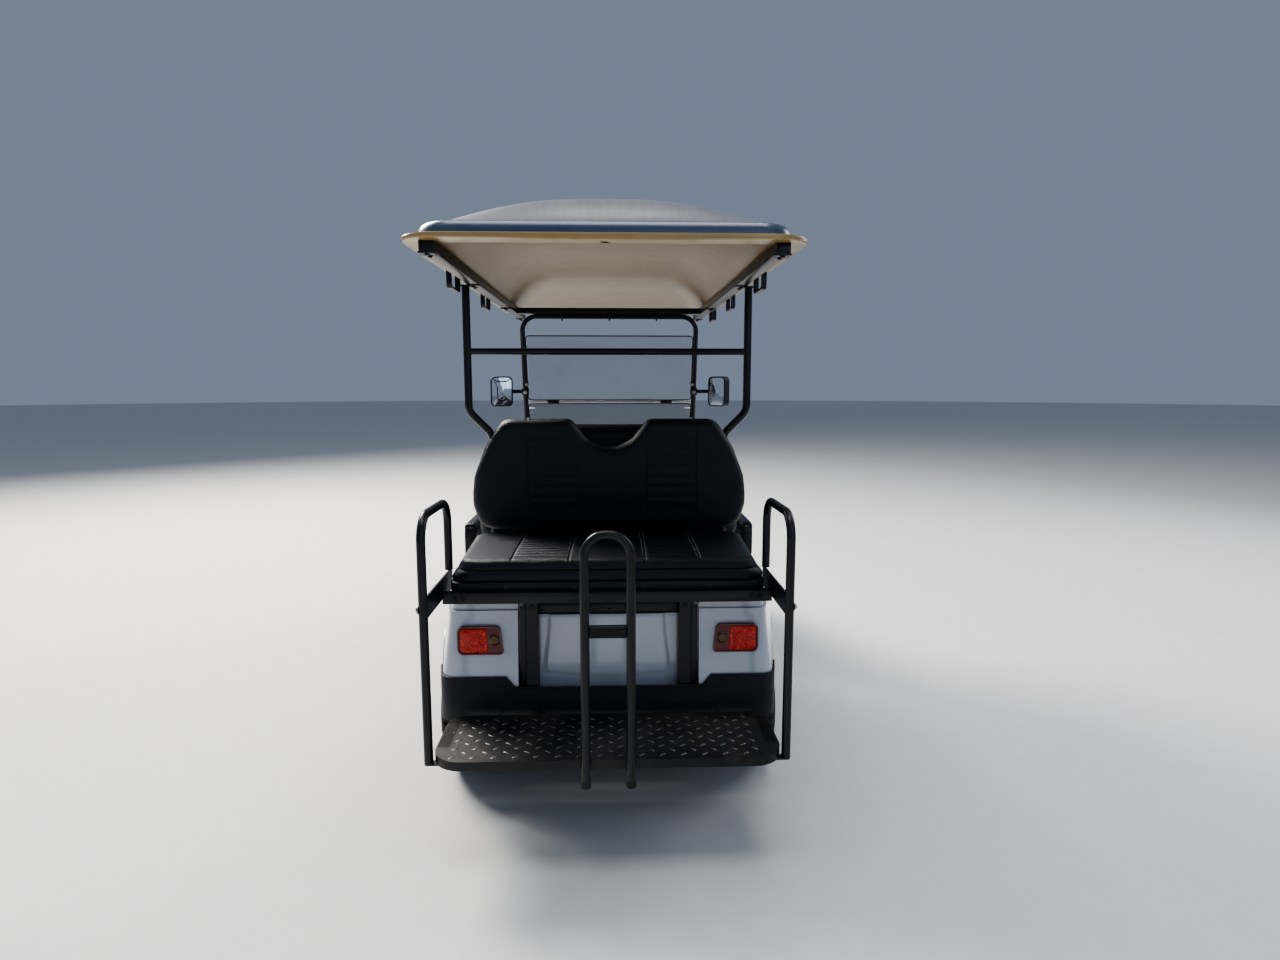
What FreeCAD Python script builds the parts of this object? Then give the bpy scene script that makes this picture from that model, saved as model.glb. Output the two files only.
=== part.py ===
import FreeCAD, Part
import math
import os
import Sketcher

# Golf cart with four seats: two facing forward and, on a kit behind them, two facing back.
# Millimetres. +X is the cart's right, +Y is forward, +Z is up. The origin is on the floor under the middle.

V = FreeCAD.Vector
DOC = FreeCAD.newDocument("GolfCart")
SHEET = DOC.addObject("Spreadsheet::Sheet", "Sizes")
NODES = []

# Driving dimensions: name and value in millimetres, degrees where the name says angle or turn
SIZES = (
    # Running gear
    ("front_axle_y", 1000), ("rear_axle_y", -665), ("front_half_track", 445), ("rear_half_track", 455),
    ("tyre_radius", 228.5), ("tyre_width", 216), ("tyre_shoulder", 14), ("bead_radius", 104),
    ("bead_width", 180), ("bead_taper", 6), ("rim_wall", 5), ("flange_radius", 115), ("flange_width", 7),
    ("disc_wall", 7), ("disc_out", 14), ("disc_holes", 8), ("disc_hole_radius", 11),
    ("hub_radius", 46), ("hub_in", 62), ("hub_out", 34), ("hub_cap_radius", 31), ("hub_cap_depth", 16),
    ("spindle_radius", 18), ("running_gap", 0.05), ("seat_gap", 0.3),
    ("kingpin_x", 320), ("kingpin_radius", 12), ("kingpin_low", 158), ("kingpin_high", 300),
    ("sleeve_radius", 24), ("steer_arm", 110), ("steer_arm_z", 173), ("steer_arm_thick", 12),
    ("tie_rod_radius", 8), ("tie_rod_drop", 30), ("beam_low", 190), ("beam_height", 34), ("beam_depth", 46),
    ("axle_tube_radius", 35), ("drive_case_radius", 92), ("drive_case_width", 120), ("drive_case_x", 40),
    ("motor_radius", 82), ("motor_length", 240), ("motor_back", 150), ("brake_radius", 84),
    ("spring_width", 45), ("spring_thick", 22), ("spring_flat", 45), ("rear_spring_rise", 52),
    ("front_spring_rise", 34), ("perch_height", 8), ("rear_spring_x", 260), ("rear_spring_span", 560),
    ("front_spring_span", 560), ("eye_radius", 17), ("hanger_wall", 5),
    # Chassis, floor and power
    ("rail_x", 165), ("rail_width", 40), ("rail_height", 60), ("rail_low", 255), ("rail_rise", 145),
    ("rail_kick_y", -385), ("rail_kick_run", 110), ("rail_rear_y", -960), ("floor_rear_y", -338),
    ("floor_thick", 12), ("floor_half_width", 548), ("toe_y", 668), ("toe_top", 580), ("toe_run", 14),
    ("battery_half_width", 350), ("battery_length", 380), ("battery_height", 262), ("battery_front_y", 52),
    # Rear body
    ("body_front_y", 78), ("body_rear_y", -1020), ("body_half_front", 586), ("body_half_axle", 592),
    ("body_half_rear", 514), ("body_low", 300), ("body_tail_low", 404), ("ledge_drop", 19), ("body_top", 660),
    ("body_wall", 5), ("body_corner", 42), ("rear_arch_radius", 268), ("recess_half", 282),
    ("recess_depth", 52), ("panel_half", 226), ("panel_low", 374), ("panel_high", 619), ("panel_thick", 4),
    ("well_half", 300), ("well_front_y", -600), ("well_rear_y", -925), ("seat_bay_half", 362),
    ("seat_bay_front_y", 60), ("seat_bay_rear_y", -360),
    ("bumper_low", 296), ("bumper_top", 434), ("bumper_middle_top", 400), ("bumper_wall", 7),
    ("bumper_gap", 0.6), ("bumper_step", 195), ("bumper_step_run", 28), ("arch_rib", 3), ("arch_half", 344), ("arch_rise", 75), ("bumper_side", 110), ("side_curve", 700),
    ("lamp_in", 327), ("lamp_out", 466), ("lamp_low", 507), ("lamp_high", 594), ("lamp_slant", 11),
    ("lamp_back", 6), ("lamp_depth", 42), ("lamp_corner", 16),
    # Front body
    ("cowl_rear_y", 690), ("cowl_front_y", 1336), ("cowl_wall", 5), ("cowl_low", 402),
    ("cowl_flare", 110), ("cowl_flare_radius", 200),
    ("front_arch_radius", 322), ("front_bumper_low", 268), ("front_bumper_half", 476),
    ("front_bumper_y", 1362.5), ("front_bumper_thick", 34),
    ("head_lamp_in", 262), ("head_lamp_out", 400), ("head_lamp_low", 478), ("head_lamp_high", 556),
    ("head_lamp_depth", 90),
    ("dash_half", 516), ("dash_y", 596), ("dash_high", 816),
    ("wheel_x", -268), ("wheel_y", 452), ("wheel_z", 985), ("wheel_ring", 172), ("wheel_grip", 13),
    ("column_angle", 32), ("column_radius", 22), ("column_length", 430), ("wheel_hub_radius", 42),
    ("wheel_hub_depth", 34), ("spoke_width", 30), ("spoke_thick", 9), ("wheel_dish", 26),
    ("pedal_width", 70), ("pedal_height", 96), ("pedal_thick", 8), ("pedal_gap", 60),
    # Roof and its frames
    ("strut_y", -465), ("strut_x", 516), ("strut_foot_x", 430), ("strut_radius", 14), ("strut_bend", 60),
    ("strut_bend_high", 1238), ("strut_bend_low", 1152), ("crossbar_z", 1457), ("crossbar_radius", 12),
    ("frame_radius", 12.5), ("frame_half", 446), ("frame_top", 1680), ("frame_base_y", 881),
    ("frame_base_z", 800), ("frame_angle", 15), ("frame_bend", 75), ("frame_drop", 190),
    ("screen_inset", 22), ("screen_thick", 6), ("screen_low", 52), ("screen_seam", 1245),
    ("screen_top", 1588), ("screen_seam_gap", 6), ("clip_height", 26),
    ("rail_top", 1722), ("roof_rail_x", 485), ("roof_rail_width", 40), ("roof_rail_rear_y", -1172),
    ("roof_rail_front_y", 987), ("roof_half", 563.5), ("roof_rear_y", -1216), ("roof_front_y", 1013),
    ("roof_lip", 16), ("roof_corner", 110), ("roof_rise", 178), ("ceiling_rise", 112),
    ("handle_x", 540), ("handle_rear_y", -555), ("handle_front_y", 115), ("handle_screen_y", 715), ("handle_length", 150), ("handle_drop", 58), ("handle_thick", 7),
    ("handle_width", 18), ("handle_bend", 20),
    ("mirror_x", 562), ("mirror_z", 1300), ("mirror_half", 57), ("mirror_half_height", 78),
    ("mirror_depth", 34), ("mirror_turn", 48), ("mirror_stem_radius", 7), ("mirror_back", 62),
    # Seats
    ("seat_half", 500), ("seat_front_y", 125), ("seat_rear_y", -322), ("seat_thick", 112),
    ("seat_back_half", 500), ("seat_back_low", 690), ("seat_back_high", 1186), ("seat_back_thick", 112),
    ("hip_x", 552), ("hip_width", 42), ("hip_top", 786), ("hip_rear_y", -330), ("hip_front_y", -20),
    ("rear_seat_half", 481), ("rear_seat_rear_y", -1043), ("rear_seat_front_y", -577),
    ("rear_seat_top", 814), ("rear_seat_low", 740), ("board_thick", 26), ("bar_height", 33),
    ("bar_width", 34), ("bar_half", 478), ("rear_back_low", 806), ("rear_back_high", 1213),
    ("rear_back_thick", 86), ("rear_back_half", 496),
    ("post_x", 237.5), ("post_width", 38), ("post_depth", 36), ("post_low", 292), ("side_rail_x", 500),
    ("side_rail_low", 700), ("side_rail_height", 62), ("side_rail_thick", 6),
    ("arm_radius", 12.5), ("arm_x", 500), ("arm_top", 984.5), ("arm_rear_y", -1281), ("arm_front_y", -953),
    ("arm_bend", 70), ("arm_foot_reach", 50), ("arm_foot_thick", 5),
    ("plate_rear_y", -1335), ("plate_front_y", -1045), ("plate_top", 321),
    ("plate_rim", 26), ("plate_thick", 4), ("plate_corner", 85), ("beam_width", 40),
    ("beam_square", 30), ("grab_half", 61.5), ("grab_top", 949), ("grab_low", 250),
    ("grab_radius", 12.5), ("grab_bar_low", 670), ("grab_bar_high", 705),
)


class Size:
    """A number together with the spreadsheet formula that gives it."""

    def __init__(self, number, formula):
        self.number = float(number)
        self.formula = formula

    def __float__(self):
        return self.number

    def __add__(self, other):
        other = as_size(other)
        return Size(self.number + other.number, "(" + self.formula + " + " + other.formula + ")")

    def __sub__(self, other):
        other = as_size(other)
        return Size(self.number - other.number, "(" + self.formula + " - " + other.formula + ")")

    def __mul__(self, other):
        other = as_size(other)
        return Size(self.number * other.number, "(" + self.formula + " * " + other.formula + ")")

    def __truediv__(self, other):
        other = as_size(other)
        return Size(self.number / other.number, "(" + self.formula + " / " + other.formula + ")")

    def __neg__(self):
        return Size(-self.number, "(-1 * " + self.formula + ")")

    def __radd__(self, other):
        return as_size(other) + self

    def __rsub__(self, other):
        return as_size(other) - self

    def __rmul__(self, other):
        return as_size(other) * self


class Sizes:
    """The sheet's values by name, each as a Size."""


def as_size(value):
    return value if isinstance(value, Size) else Size(value, "(" + repr(float(value)) + ")")


def fill_sheet():
    for row, (name, value) in enumerate(SIZES, 1):
        SHEET.set("A" + str(row), name)
        SHEET.set("B" + str(row), str(value))
        SHEET.setAlias("B" + str(row), name)
        setattr(Sizes, name, Size(value, "Sizes." + name))
    DOC.recompute()


def bind(item, prop, value):
    """Give a property the formula of a size."""
    item.setExpression(prop, as_size(value).formula)


def move(item, x, y, z):
    for part, value in zip("xyz", (x, y, z)):
        bind(item, "Placement.Base." + part, value)


def keep(label, item):
    """Name a finished sub-part and list it for writing."""
    item.Label = label
    NODES.append(item)
    return item


# Solids from primitives

def box(name, low, high):
    """A box from its lowest corner to its highest, each given as x, y, z."""
    item = DOC.addObject("Part::Box", name)
    for prop, a, b in zip(("Length", "Width", "Height"), low, high):
        bind(item, prop, as_size(b) - a)
    move(item, *low)
    return item


TURNS = {"x": (V(0, 1, 0), 90), "y": (V(1, 0, 0), -90), "z": (V(0, 0, 1), 0)}


def cylinder(name, axis, start, length, radius):
    """A cylinder that runs from start along +X, +Y or +Z."""
    item = DOC.addObject("Part::Cylinder", name)
    item.Placement = FreeCAD.Placement(V(0, 0, 0), FreeCAD.Rotation(*TURNS[axis]))
    bind(item, "Radius", radius)
    bind(item, "Height", length)
    move(item, *start)
    return item


def fuse(name, items):
    item = DOC.addObject("Part::MultiFuse", name)
    item.Shapes = items
    item.Refine = True
    return item


def cut(name, base, tools):
    tool = tools[0] if len(tools) == 1 else fuse(name + "Tools", tools)
    item = DOC.addObject("Part::Cut", name)
    item.Base = base
    item.Tool = tool
    return item


def together(name, items):
    """Solids that don't touch, kept as one sub-part."""
    item = DOC.addObject("Part::Compound", name)
    item.Links = items
    return item


def mirror(name, source):
    """The other side's copy, across the middle plane of the cart."""
    item = DOC.addObject("Part::Mirroring", name)
    item.Source = source
    item.Normal = V(1, 0, 0)
    return item


def pair(name, source):
    return together(name, [source, mirror(name + "Other", source)])


# Bodies with sketches: view "top" looks along Z, "back" along Y, "side" along X

VIEWS = {"top": ("XY_Plane", 1), "back": ("XZ_Plane", -1), "side": ("YZ_Plane", 1)}


def new_body(name):
    return DOC.addObject("PartDesign::Body", name)


def origin_plane(body, role):
    for item in body.Origin.OriginFeatures:
        if item.Role == role:
            return item
    raise ValueError(role)


def new_sketch(body, name, view, place):
    """An empty sketch in one view, at a place along the axis that the view looks along."""
    role, sign = VIEWS[view]
    sketch = body.newObject("Sketcher::SketchObject", name)
    sketch.AttachmentSupport = [(origin_plane(body, role), "")]
    sketch.MapMode = "FlatFace"
    bind(sketch, "AttachmentOffset.Base.z", as_size(place) * sign)
    return sketch


def hold_point(sketch, item, end, x, y):
    """Fix a point at x, y by two distances that follow the sheet."""
    for kind, value in (("DistanceX", as_size(x)), ("DistanceY", as_size(y))):
        index = sketch.addConstraint(Sketcher.Constraint(kind, -1, 1, item, end, value.number))
        sketch.setExpression("Constraints[" + str(index) + "]", value.formula)


def draw_circle(sketch, x, y, radius):
    x, y, radius = as_size(x), as_size(y), as_size(radius)
    circle = Part.Circle(V(x.number, y.number, 0), V(0, 0, 1), radius.number)
    item = sketch.addGeometry(circle, False)
    index = sketch.addConstraint(Sketcher.Constraint("Radius", item, radius.number))
    sketch.setExpression("Constraints[" + str(index) + "]", radius.formula)
    hold_point(sketch, item, 3, x, y)


def corner_arc(before, here, after, radius):
    """The arc that rounds a corner: its centre, its two ends, and whether it turns left."""
    a = (before - here).normalize()
    b = (after - here).normalize()
    half = a.getAngle(b) / 2
    middle = (a + b).normalize()
    centre = here + middle * (radius / math.sin(half))
    reach = radius / math.tan(half)
    left = (here - before).cross(after - here).z > 0
    return centre, here + a * reach, here + b * reach, left


def draw(sketch, corners, closed=True):
    """Straight sides through corners (x, y) or (x, y, radius), where a radius rounds the corner."""
    rows = [tuple(as_size(value) for value in corner) for corner in corners]
    points = [V(row[0].number, row[1].number, 0) for row in rows]
    count = len(rows)
    rounds = {}
    for i, row in enumerate(rows):
        if len(row) == 3 and (closed or 0 < i < count - 1):
            rounds[i] = corner_arc(points[i - 1], points[i], points[(i + 1) % count], row[2].number)
    lines = []
    for i in range(count if closed else count - 1):
        j = (i + 1) % count
        start = rounds[i][2] if i in rounds else points[i]
        end = rounds[j][1] if j in rounds else points[j]
        lines.append(sketch.addGeometry(Part.LineSegment(start, end), False))
    for i, row in enumerate(rows):
        first = lines[i - 1] if closed or i > 0 else None
        second = lines[i] if closed or i < count - 1 else None
        if i in rounds:
            join_round(sketch, rounds[i], row, points[i], first, second)
            continue
        if first is not None and second is not None:
            sketch.addConstraint(Sketcher.Constraint("Coincident", first, 2, second, 1))
        if second is not None:
            hold_point(sketch, second, 1, row[0], row[1])
        else:
            hold_point(sketch, first, 2, row[0], row[1])


def join_round(sketch, rounding, row, point, first, second):
    """A tangent arc between two sides, whose lines still pass through the corner point."""
    centre, start, end, left = rounding
    angles = [math.atan2(p.y - centre.y, p.x - centre.x) for p in ((start, end) if left else (end, start))]
    circle = Part.Circle(centre, V(0, 0, 1), row[2].number)
    arc = sketch.addGeometry(Part.ArcOfCircle(circle, angles[0], angles[1]), False)
    mark = sketch.addGeometry(Part.Point(point), True)
    hold_point(sketch, mark, 1, row[0], row[1])
    sketch.addConstraint(Sketcher.Constraint("PointOnObject", mark, 1, first))
    sketch.addConstraint(Sketcher.Constraint("PointOnObject", mark, 1, second))
    near, far = (1, 2) if left else (2, 1)
    sketch.addConstraint(Sketcher.Constraint("Tangent", first, 2, arc, near))
    sketch.addConstraint(Sketcher.Constraint("Tangent", arc, far, second, 1))
    index = sketch.addConstraint(Sketcher.Constraint("Radius", arc, row[2].number))
    sketch.setExpression("Constraints[" + str(index) + "]", row[2].formula)


def pad(body, name, view, low, high, *outlines):
    """Outlines pushed out from low to high along the axis of the view."""
    sign = VIEWS[view][1]
    sketch = new_sketch(body, name + "Sketch", view, low if sign > 0 else high)
    for outline in outlines:
        draw(sketch, outline)
    feature = body.newObject("PartDesign::Pad", name)
    feature.Profile = sketch
    bind(feature, "Length", as_size(high) - low)
    body.Tip = feature
    return feature


def pocket(body, name, view, low, high, *outlines):
    """Outlines cut away from low to high along the axis of the view."""
    sign = VIEWS[view][1]
    sketch = new_sketch(body, name + "Sketch", view, high if sign > 0 else low)
    for outline in outlines:
        draw(sketch, outline)
    feature = body.newObject("PartDesign::Pocket", name)
    feature.Profile = sketch
    bind(feature, "Length", as_size(high) - low)
    body.Tip = feature
    return feature


def drill(body, name, view, low, high, circles):
    """Round holes cut away from low to high; each circle is x, y, radius in the view."""
    sign = VIEWS[view][1]
    sketch = new_sketch(body, name + "Sketch", view, high if sign > 0 else low)
    for circle in circles:
        draw_circle(sketch, *circle)
    feature = body.newObject("PartDesign::Pocket", name)
    feature.Profile = sketch
    bind(feature, "Length", as_size(high) - low)
    body.Tip = feature
    return feature


def loft(body, name, view, kind, sections):
    """A skin through outlines; each section is its place and its corners."""
    sketches = []
    for index, (place, outline) in enumerate(sections):
        sketch = new_sketch(body, name + "Section" + str(index), view, place)
        draw(sketch, outline)
        sketches.append(sketch)
    feature = body.newObject("PartDesign::" + kind + "Loft", name)
    feature.Profile = sketches[0]
    feature.Sections = sketches[1:]
    feature.Ruled = False
    body.Tip = feature
    return feature


def revolve(body, name, view, outline, axis, kind="Revolution"):
    """An outline turned once about one of the sketch's own axes."""
    sketch = new_sketch(body, name + "Sketch", view, 0)
    draw(sketch, outline)
    feature = body.newObject("PartDesign::" + kind, name)
    feature.Profile = sketch
    feature.ReferenceAxis = (sketch, [axis])
    feature.Angle = 360
    body.Tip = feature
    return feature


def round_edges(body, name, radius, wanted):
    """Round the edges of the body's last feature that a test picks."""
    DOC.recompute()
    base = body.Tip
    names = ["Edge" + str(i) for i, edge in enumerate(base.Shape.Edges, 1) if wanted(edge)]
    feature = body.newObject("PartDesign::Fillet", name)
    feature.Base = (base, names)
    bind(feature, "Radius", radius)
    body.Tip = feature
    return feature


def tube(name, view, place, corners, radius, start_view):
    """A round tube bent along corners in one view; start_view is the view that its first run looks along."""
    body = new_body(name)
    path = new_sketch(body, name + "Path", view, place)
    draw(path, corners, closed=False)
    x, y = corners[0][0], corners[0][1]
    spots = {"top": (x, y, place), "back": (x, place, y), "side": (place, x, y)}
    spot = spots[view]
    across = {"top": (0, 1, 2), "back": (0, 2, 1), "side": (1, 2, 0)}[start_view]
    ring = new_sketch(body, name + "Ring", start_view, spot[across[2]])
    draw_circle(ring, spot[across[0]], spot[across[1]], radius)
    DOC.recompute()
    feature = body.newObject("PartDesign::AdditivePipe", name + "Sweep")
    feature.Profile = ring
    feature.Spine = path
    body.Tip = feature
    return body


def rectangle(x0, y0, x1, y1, radius=None):
    """Corners of a rectangle, rounded where a radius is given."""
    spots = ((x0, y0), (x1, y0), (x1, y1), (x0, y1))
    return [spot if radius is None else spot + (radius,) for spot in spots]


def both_sides(half):
    """A full outline from its right half, listed upwards from the middle plane."""
    return half + [(-1 * as_size(row[0]),) + tuple(row[1:]) for row in reversed(half)]


# Wheels

def wheel_body(name, side):
    """A body whose own X is the wheel's axle, pointing away from the cart."""
    body = new_body(name)
    turn = 180 if side < 0 else 0
    body.Placement = FreeCAD.Placement(V(0, 0, 0), FreeCAD.Rotation(V(0, 0, 1), turn))
    return body


def make_tyre(name, side):
    z = Sizes
    half = z.tyre_width / 2
    body = wheel_body(name, side)
    inner = z.bead_radius + z.seat_gap
    seat = z.bead_width / 2 - z.bead_taper
    bulge = z.tyre_radius * 0.7
    outline = both_sides([(seat, inner), (half, bulge), (half - z.tyre_shoulder, z.tyre_radius)])
    revolve(body, name + "Ring", "top", outline, "H_Axis")
    return body


def make_rim(name, side):
    z = Sizes
    body = wheel_body(name, side)
    bead = z.bead_width / 2
    edge = bead + z.flange_width
    inner = z.bead_radius - z.rim_wall
    bore = z.spindle_radius + z.running_gap
    disc = z.disc_out
    outline = [
        (-1 * edge, inner), (-1 * edge, z.flange_radius), (-1 * bead, z.flange_radius),
        (-1 * bead, z.bead_radius), (bead, z.bead_radius), (bead, z.flange_radius),
        (edge, z.flange_radius), (edge, inner), (disc + z.disc_wall + 22, inner),
        (disc + z.disc_wall, z.hub_radius + 14), (disc + z.disc_wall, z.hub_cap_radius),
        (z.hub_out, z.hub_cap_radius), (z.hub_out + z.hub_cap_depth, z.hub_cap_radius * 0.6),
        (z.hub_out + z.hub_cap_depth, 0), (z.hub_out - 6, 0), (z.hub_out - 6, bore),
        (-1 * z.hub_in, bore), (-1 * z.hub_in, z.hub_radius), (disc, z.hub_radius),
        (disc, z.hub_radius + 14), (disc + 22, inner),
    ]
    revolve(body, name + "Ring", "top", outline, "H_Axis")
    middle = (z.hub_radius + inner) / 2 + 4
    drill(body, name + "Vent", "side", disc - 20, disc + z.disc_wall + 40,
          [(0, middle, z.disc_hole_radius)])
    DOC.recompute()
    vent = body.Tip
    holes = body.newObject("PartDesign::PolarPattern", name + "Vents")
    holes.Originals = [vent]
    holes.Axis = (vent.Profile[0], ["N_Axis"])
    holes.Angle = 360
    bind(holes, "Occurrences", z.disc_holes)
    body.Tip = holes
    return body


def make_wheels():
    z = Sizes
    table = (
        # place, side, half track, axle y
        ("front_left", -1, z.front_half_track, z.front_axle_y),
        ("front_right", 1, z.front_half_track, z.front_axle_y),
        ("rear_left", -1, z.rear_half_track, z.rear_axle_y),
        ("rear_right", 1, z.rear_half_track, z.rear_axle_y),
    )
    for place, side, half_track, axle_y in table:
        for kind, make in (("tyre", make_tyre), ("rim", make_rim)):
            item = make(kind.title() + place.title().replace("_", ""), side)
            move(item, half_track * side, axle_y, z.tyre_radius)
            keep(kind + "_" + place, item)


# Axles, steering gear under the floor and springs

def make_front_axle():
    z = Sizes
    y = z.front_axle_y
    beam = box("AxleBeam", (-1 * z.kingpin_x, y - z.beam_depth / 2, z.beam_low),
               (z.kingpin_x, y + z.beam_depth / 2, z.beam_low + z.beam_height))
    room = cylinder("YokeRoom", "z", (z.kingpin_x, y, z.kingpin_low + 14),
                    z.kingpin_high - z.kingpin_low - 28, z.sleeve_radius + 6)
    other = mirror("YokeRoomOther", room)
    beam = cut("AxleBeamCut", beam, [room, other])
    items = [beam]
    pin = cylinder("Kingpin", "z", (z.kingpin_x, y, z.kingpin_low), z.kingpin_high - z.kingpin_low,
                   z.kingpin_radius)
    pieces = [pin]
    for name, low in (("YokeFoot", z.kingpin_low), ("YokeHead", z.kingpin_high - 14)):
        pieces.append(box(name, (z.kingpin_x - 46, y - z.beam_depth / 2, low),
                          (z.kingpin_x + 20, y + z.beam_depth / 2, low + 14)))
    pieces.append(box("YokeBack", (z.kingpin_x - 46, y - z.beam_depth / 2, z.kingpin_low),
                      (z.kingpin_x - 32, y + z.beam_depth / 2, z.kingpin_high)))
    yoke = fuse("Yoke", pieces)
    items += [yoke, mirror("YokeOther", yoke)]
    for name, x in (("PerchLeft", -1), ("PerchRight", 1)):
        items.append(box(name, (z.rail_x * x - z.spring_width / 2, y - z.spring_flat, z.beam_low - 4),
                         (z.rail_x * x + z.spring_width / 2, y + z.spring_flat, z.beam_low)))
    keep("front_axle", fuse("FrontAxle", items))


def make_knuckle(side):
    z = Sizes
    name = "KnuckleLeft" if side < 0 else "KnuckleRight"
    y = z.front_axle_y
    low = z.kingpin_low + 14.5
    high = z.kingpin_high - 14.5
    sleeve = cylinder(name + "Sleeve", "z", (z.kingpin_x, y, low), high - low, z.sleeve_radius)
    reach = z.front_half_track - z.kingpin_x + z.hub_out - 10
    spindle = cylinder(name + "Spindle", "x", (z.kingpin_x + z.kingpin_radius + 4, y, z.tyre_radius),
                       reach - z.kingpin_radius - 4, z.spindle_radius)
    arm = box(name + "Arm", (z.kingpin_x - 11, y - z.steer_arm, z.steer_arm_z),
              (z.kingpin_x + 11, y - z.sleeve_radius + 6, z.steer_arm_z + z.steer_arm_thick))
    eye = cylinder(name + "Eye", "z", (z.kingpin_x, y - z.steer_arm, z.steer_arm_z),
                   z.steer_arm_thick, 13)
    solid = fuse(name + "Solid", [sleeve, spindle, arm, eye])
    pin = cylinder(name + "Bore", "z", (z.kingpin_x, y, low - 1), high - low + 2,
                   z.kingpin_radius + z.running_gap)
    solid = cut(name, solid, [pin])
    if side < 0:
        solid = mirror(name + "Mirror", solid)
    keep("knuckle_left" if side < 0 else "knuckle_right", solid)


def make_tie_rod():
    z = Sizes
    y = z.front_axle_y - z.steer_arm
    middle = z.steer_arm_z - z.tie_rod_drop
    rod = cylinder("TieRodBar", "x", (-1 * z.kingpin_x, y, middle), 2 * z.kingpin_x, z.tie_rod_radius)
    ends = []
    for name, x in (("TieEndLeft", -1), ("TieEndRight", 1)):
        ends.append(cylinder(name, "z", (z.kingpin_x * x, y, middle - 11), z.tie_rod_drop + 11 - z.seat_gap, 11))
    keep("tie_rod", fuse("TieRod", [rod] + ends))


def make_rear_axle():
    z = Sizes
    y = z.rear_axle_y
    centre = z.tyre_radius
    inner = z.rear_half_track - z.hub_in
    tube_item = cylinder("AxleTube", "x", (-1 * inner + 4, y, centre), 2 * inner - 8, z.axle_tube_radius)
    shaft_end = z.rear_half_track + z.hub_out - 10
    shaft = cylinder("AxleShaft", "x", (-1 * shaft_end, y, centre), 2 * shaft_end, z.spindle_radius)
    case = cylinder("DriveCase", "x", (z.drive_case_x - z.drive_case_width / 2, y, centre),
                    z.drive_case_width, z.drive_case_radius)
    neck = box("DriveNeck", (z.drive_case_x - z.drive_case_width / 2, y - z.motor_back, centre - 20),
               (z.drive_case_x + z.drive_case_width / 2, y, centre + 74))
    motor = cylinder("Motor", "x", (z.drive_case_x + z.drive_case_width / 2 - z.motor_length - 60,
                                    y - z.motor_back, centre + 30), z.motor_length + 60, z.motor_radius)
    items = [tube_item, shaft, case, neck, motor]
    brake = cylinder("BrakePlate", "x", (inner - 16, y, centre), 14, z.brake_radius)
    items += [brake, mirror("BrakePlateOther", brake)]
    perch = box("RearPerch", (z.rear_spring_x - z.spring_width / 2, y - z.spring_flat, centre),
                (z.rear_spring_x + z.spring_width / 2, y + z.spring_flat,
                 centre + z.axle_tube_radius + z.perch_height))
    items += [perch, mirror("RearPerchOther", perch)]
    keep("rear_axle", fuse("RearAxle", items))


def front_spring_seat():
    """Underside of the front leaf packs, which hang below the axle beam."""
    z = Sizes
    return z.beam_low - 4 - z.seat_gap - z.spring_thick


def rear_spring_seat():
    """Underside of the rear leaf packs, which lie on the axle's perches."""
    z = Sizes
    return z.tyre_radius + z.axle_tube_radius + z.perch_height + z.seat_gap


def make_spring(name, x, axle_y, seat_z, span, rise):
    """A leaf pack, flat where it is clamped and arched up to an eye at each end."""
    z = Sizes
    body = new_body(name)
    half = span / 2
    thick = z.spring_thick
    flat = z.spring_flat
    bend = 260
    outline = [
        (axle_y - half, seat_z + rise), (axle_y - half * 0.55, seat_z + rise * 0.3, bend),
        (axle_y - flat, seat_z), (axle_y + flat, seat_z),
        (axle_y + half * 0.55, seat_z + rise * 0.3, bend), (axle_y + half, seat_z + rise),
        (axle_y + half, seat_z + rise + thick * 0.5),
        (axle_y + half * 0.5, seat_z + rise * 0.3 + thick * 0.8, bend), (axle_y + flat, seat_z + thick),
        (axle_y - flat, seat_z + thick), (axle_y - half * 0.5, seat_z + rise * 0.3 + thick * 0.8, bend),
        (axle_y - half, seat_z + rise + thick * 0.5),
    ]
    pad(body, name + "Leaves", "side", x - z.spring_width / 2, x + z.spring_width / 2, outline)
    eyes = []
    for index, end in enumerate((-1, 1)):
        eyes.append(cylinder(name + "Eye" + str(index), "x",
                             (x - z.spring_width / 2, axle_y + half * end, seat_z + rise + 4),
                             z.spring_width, z.eye_radius))
    return fuse(name + "Pack", [body] + eyes)


def make_leaf_springs():
    z = Sizes
    rear = make_spring("RearSpring", z.rear_spring_x, z.rear_axle_y, rear_spring_seat(),
                       z.rear_spring_span, z.rear_spring_rise)
    front = make_spring("FrontSpring", z.rail_x, z.front_axle_y, front_spring_seat(),
                        z.front_spring_span, z.front_spring_rise)
    items = [rear, mirror("RearSpringOther", rear), front, mirror("FrontSpringOther", front)]
    keep("leaf_springs", together("LeafSprings", items))


# Chassis and floor

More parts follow.
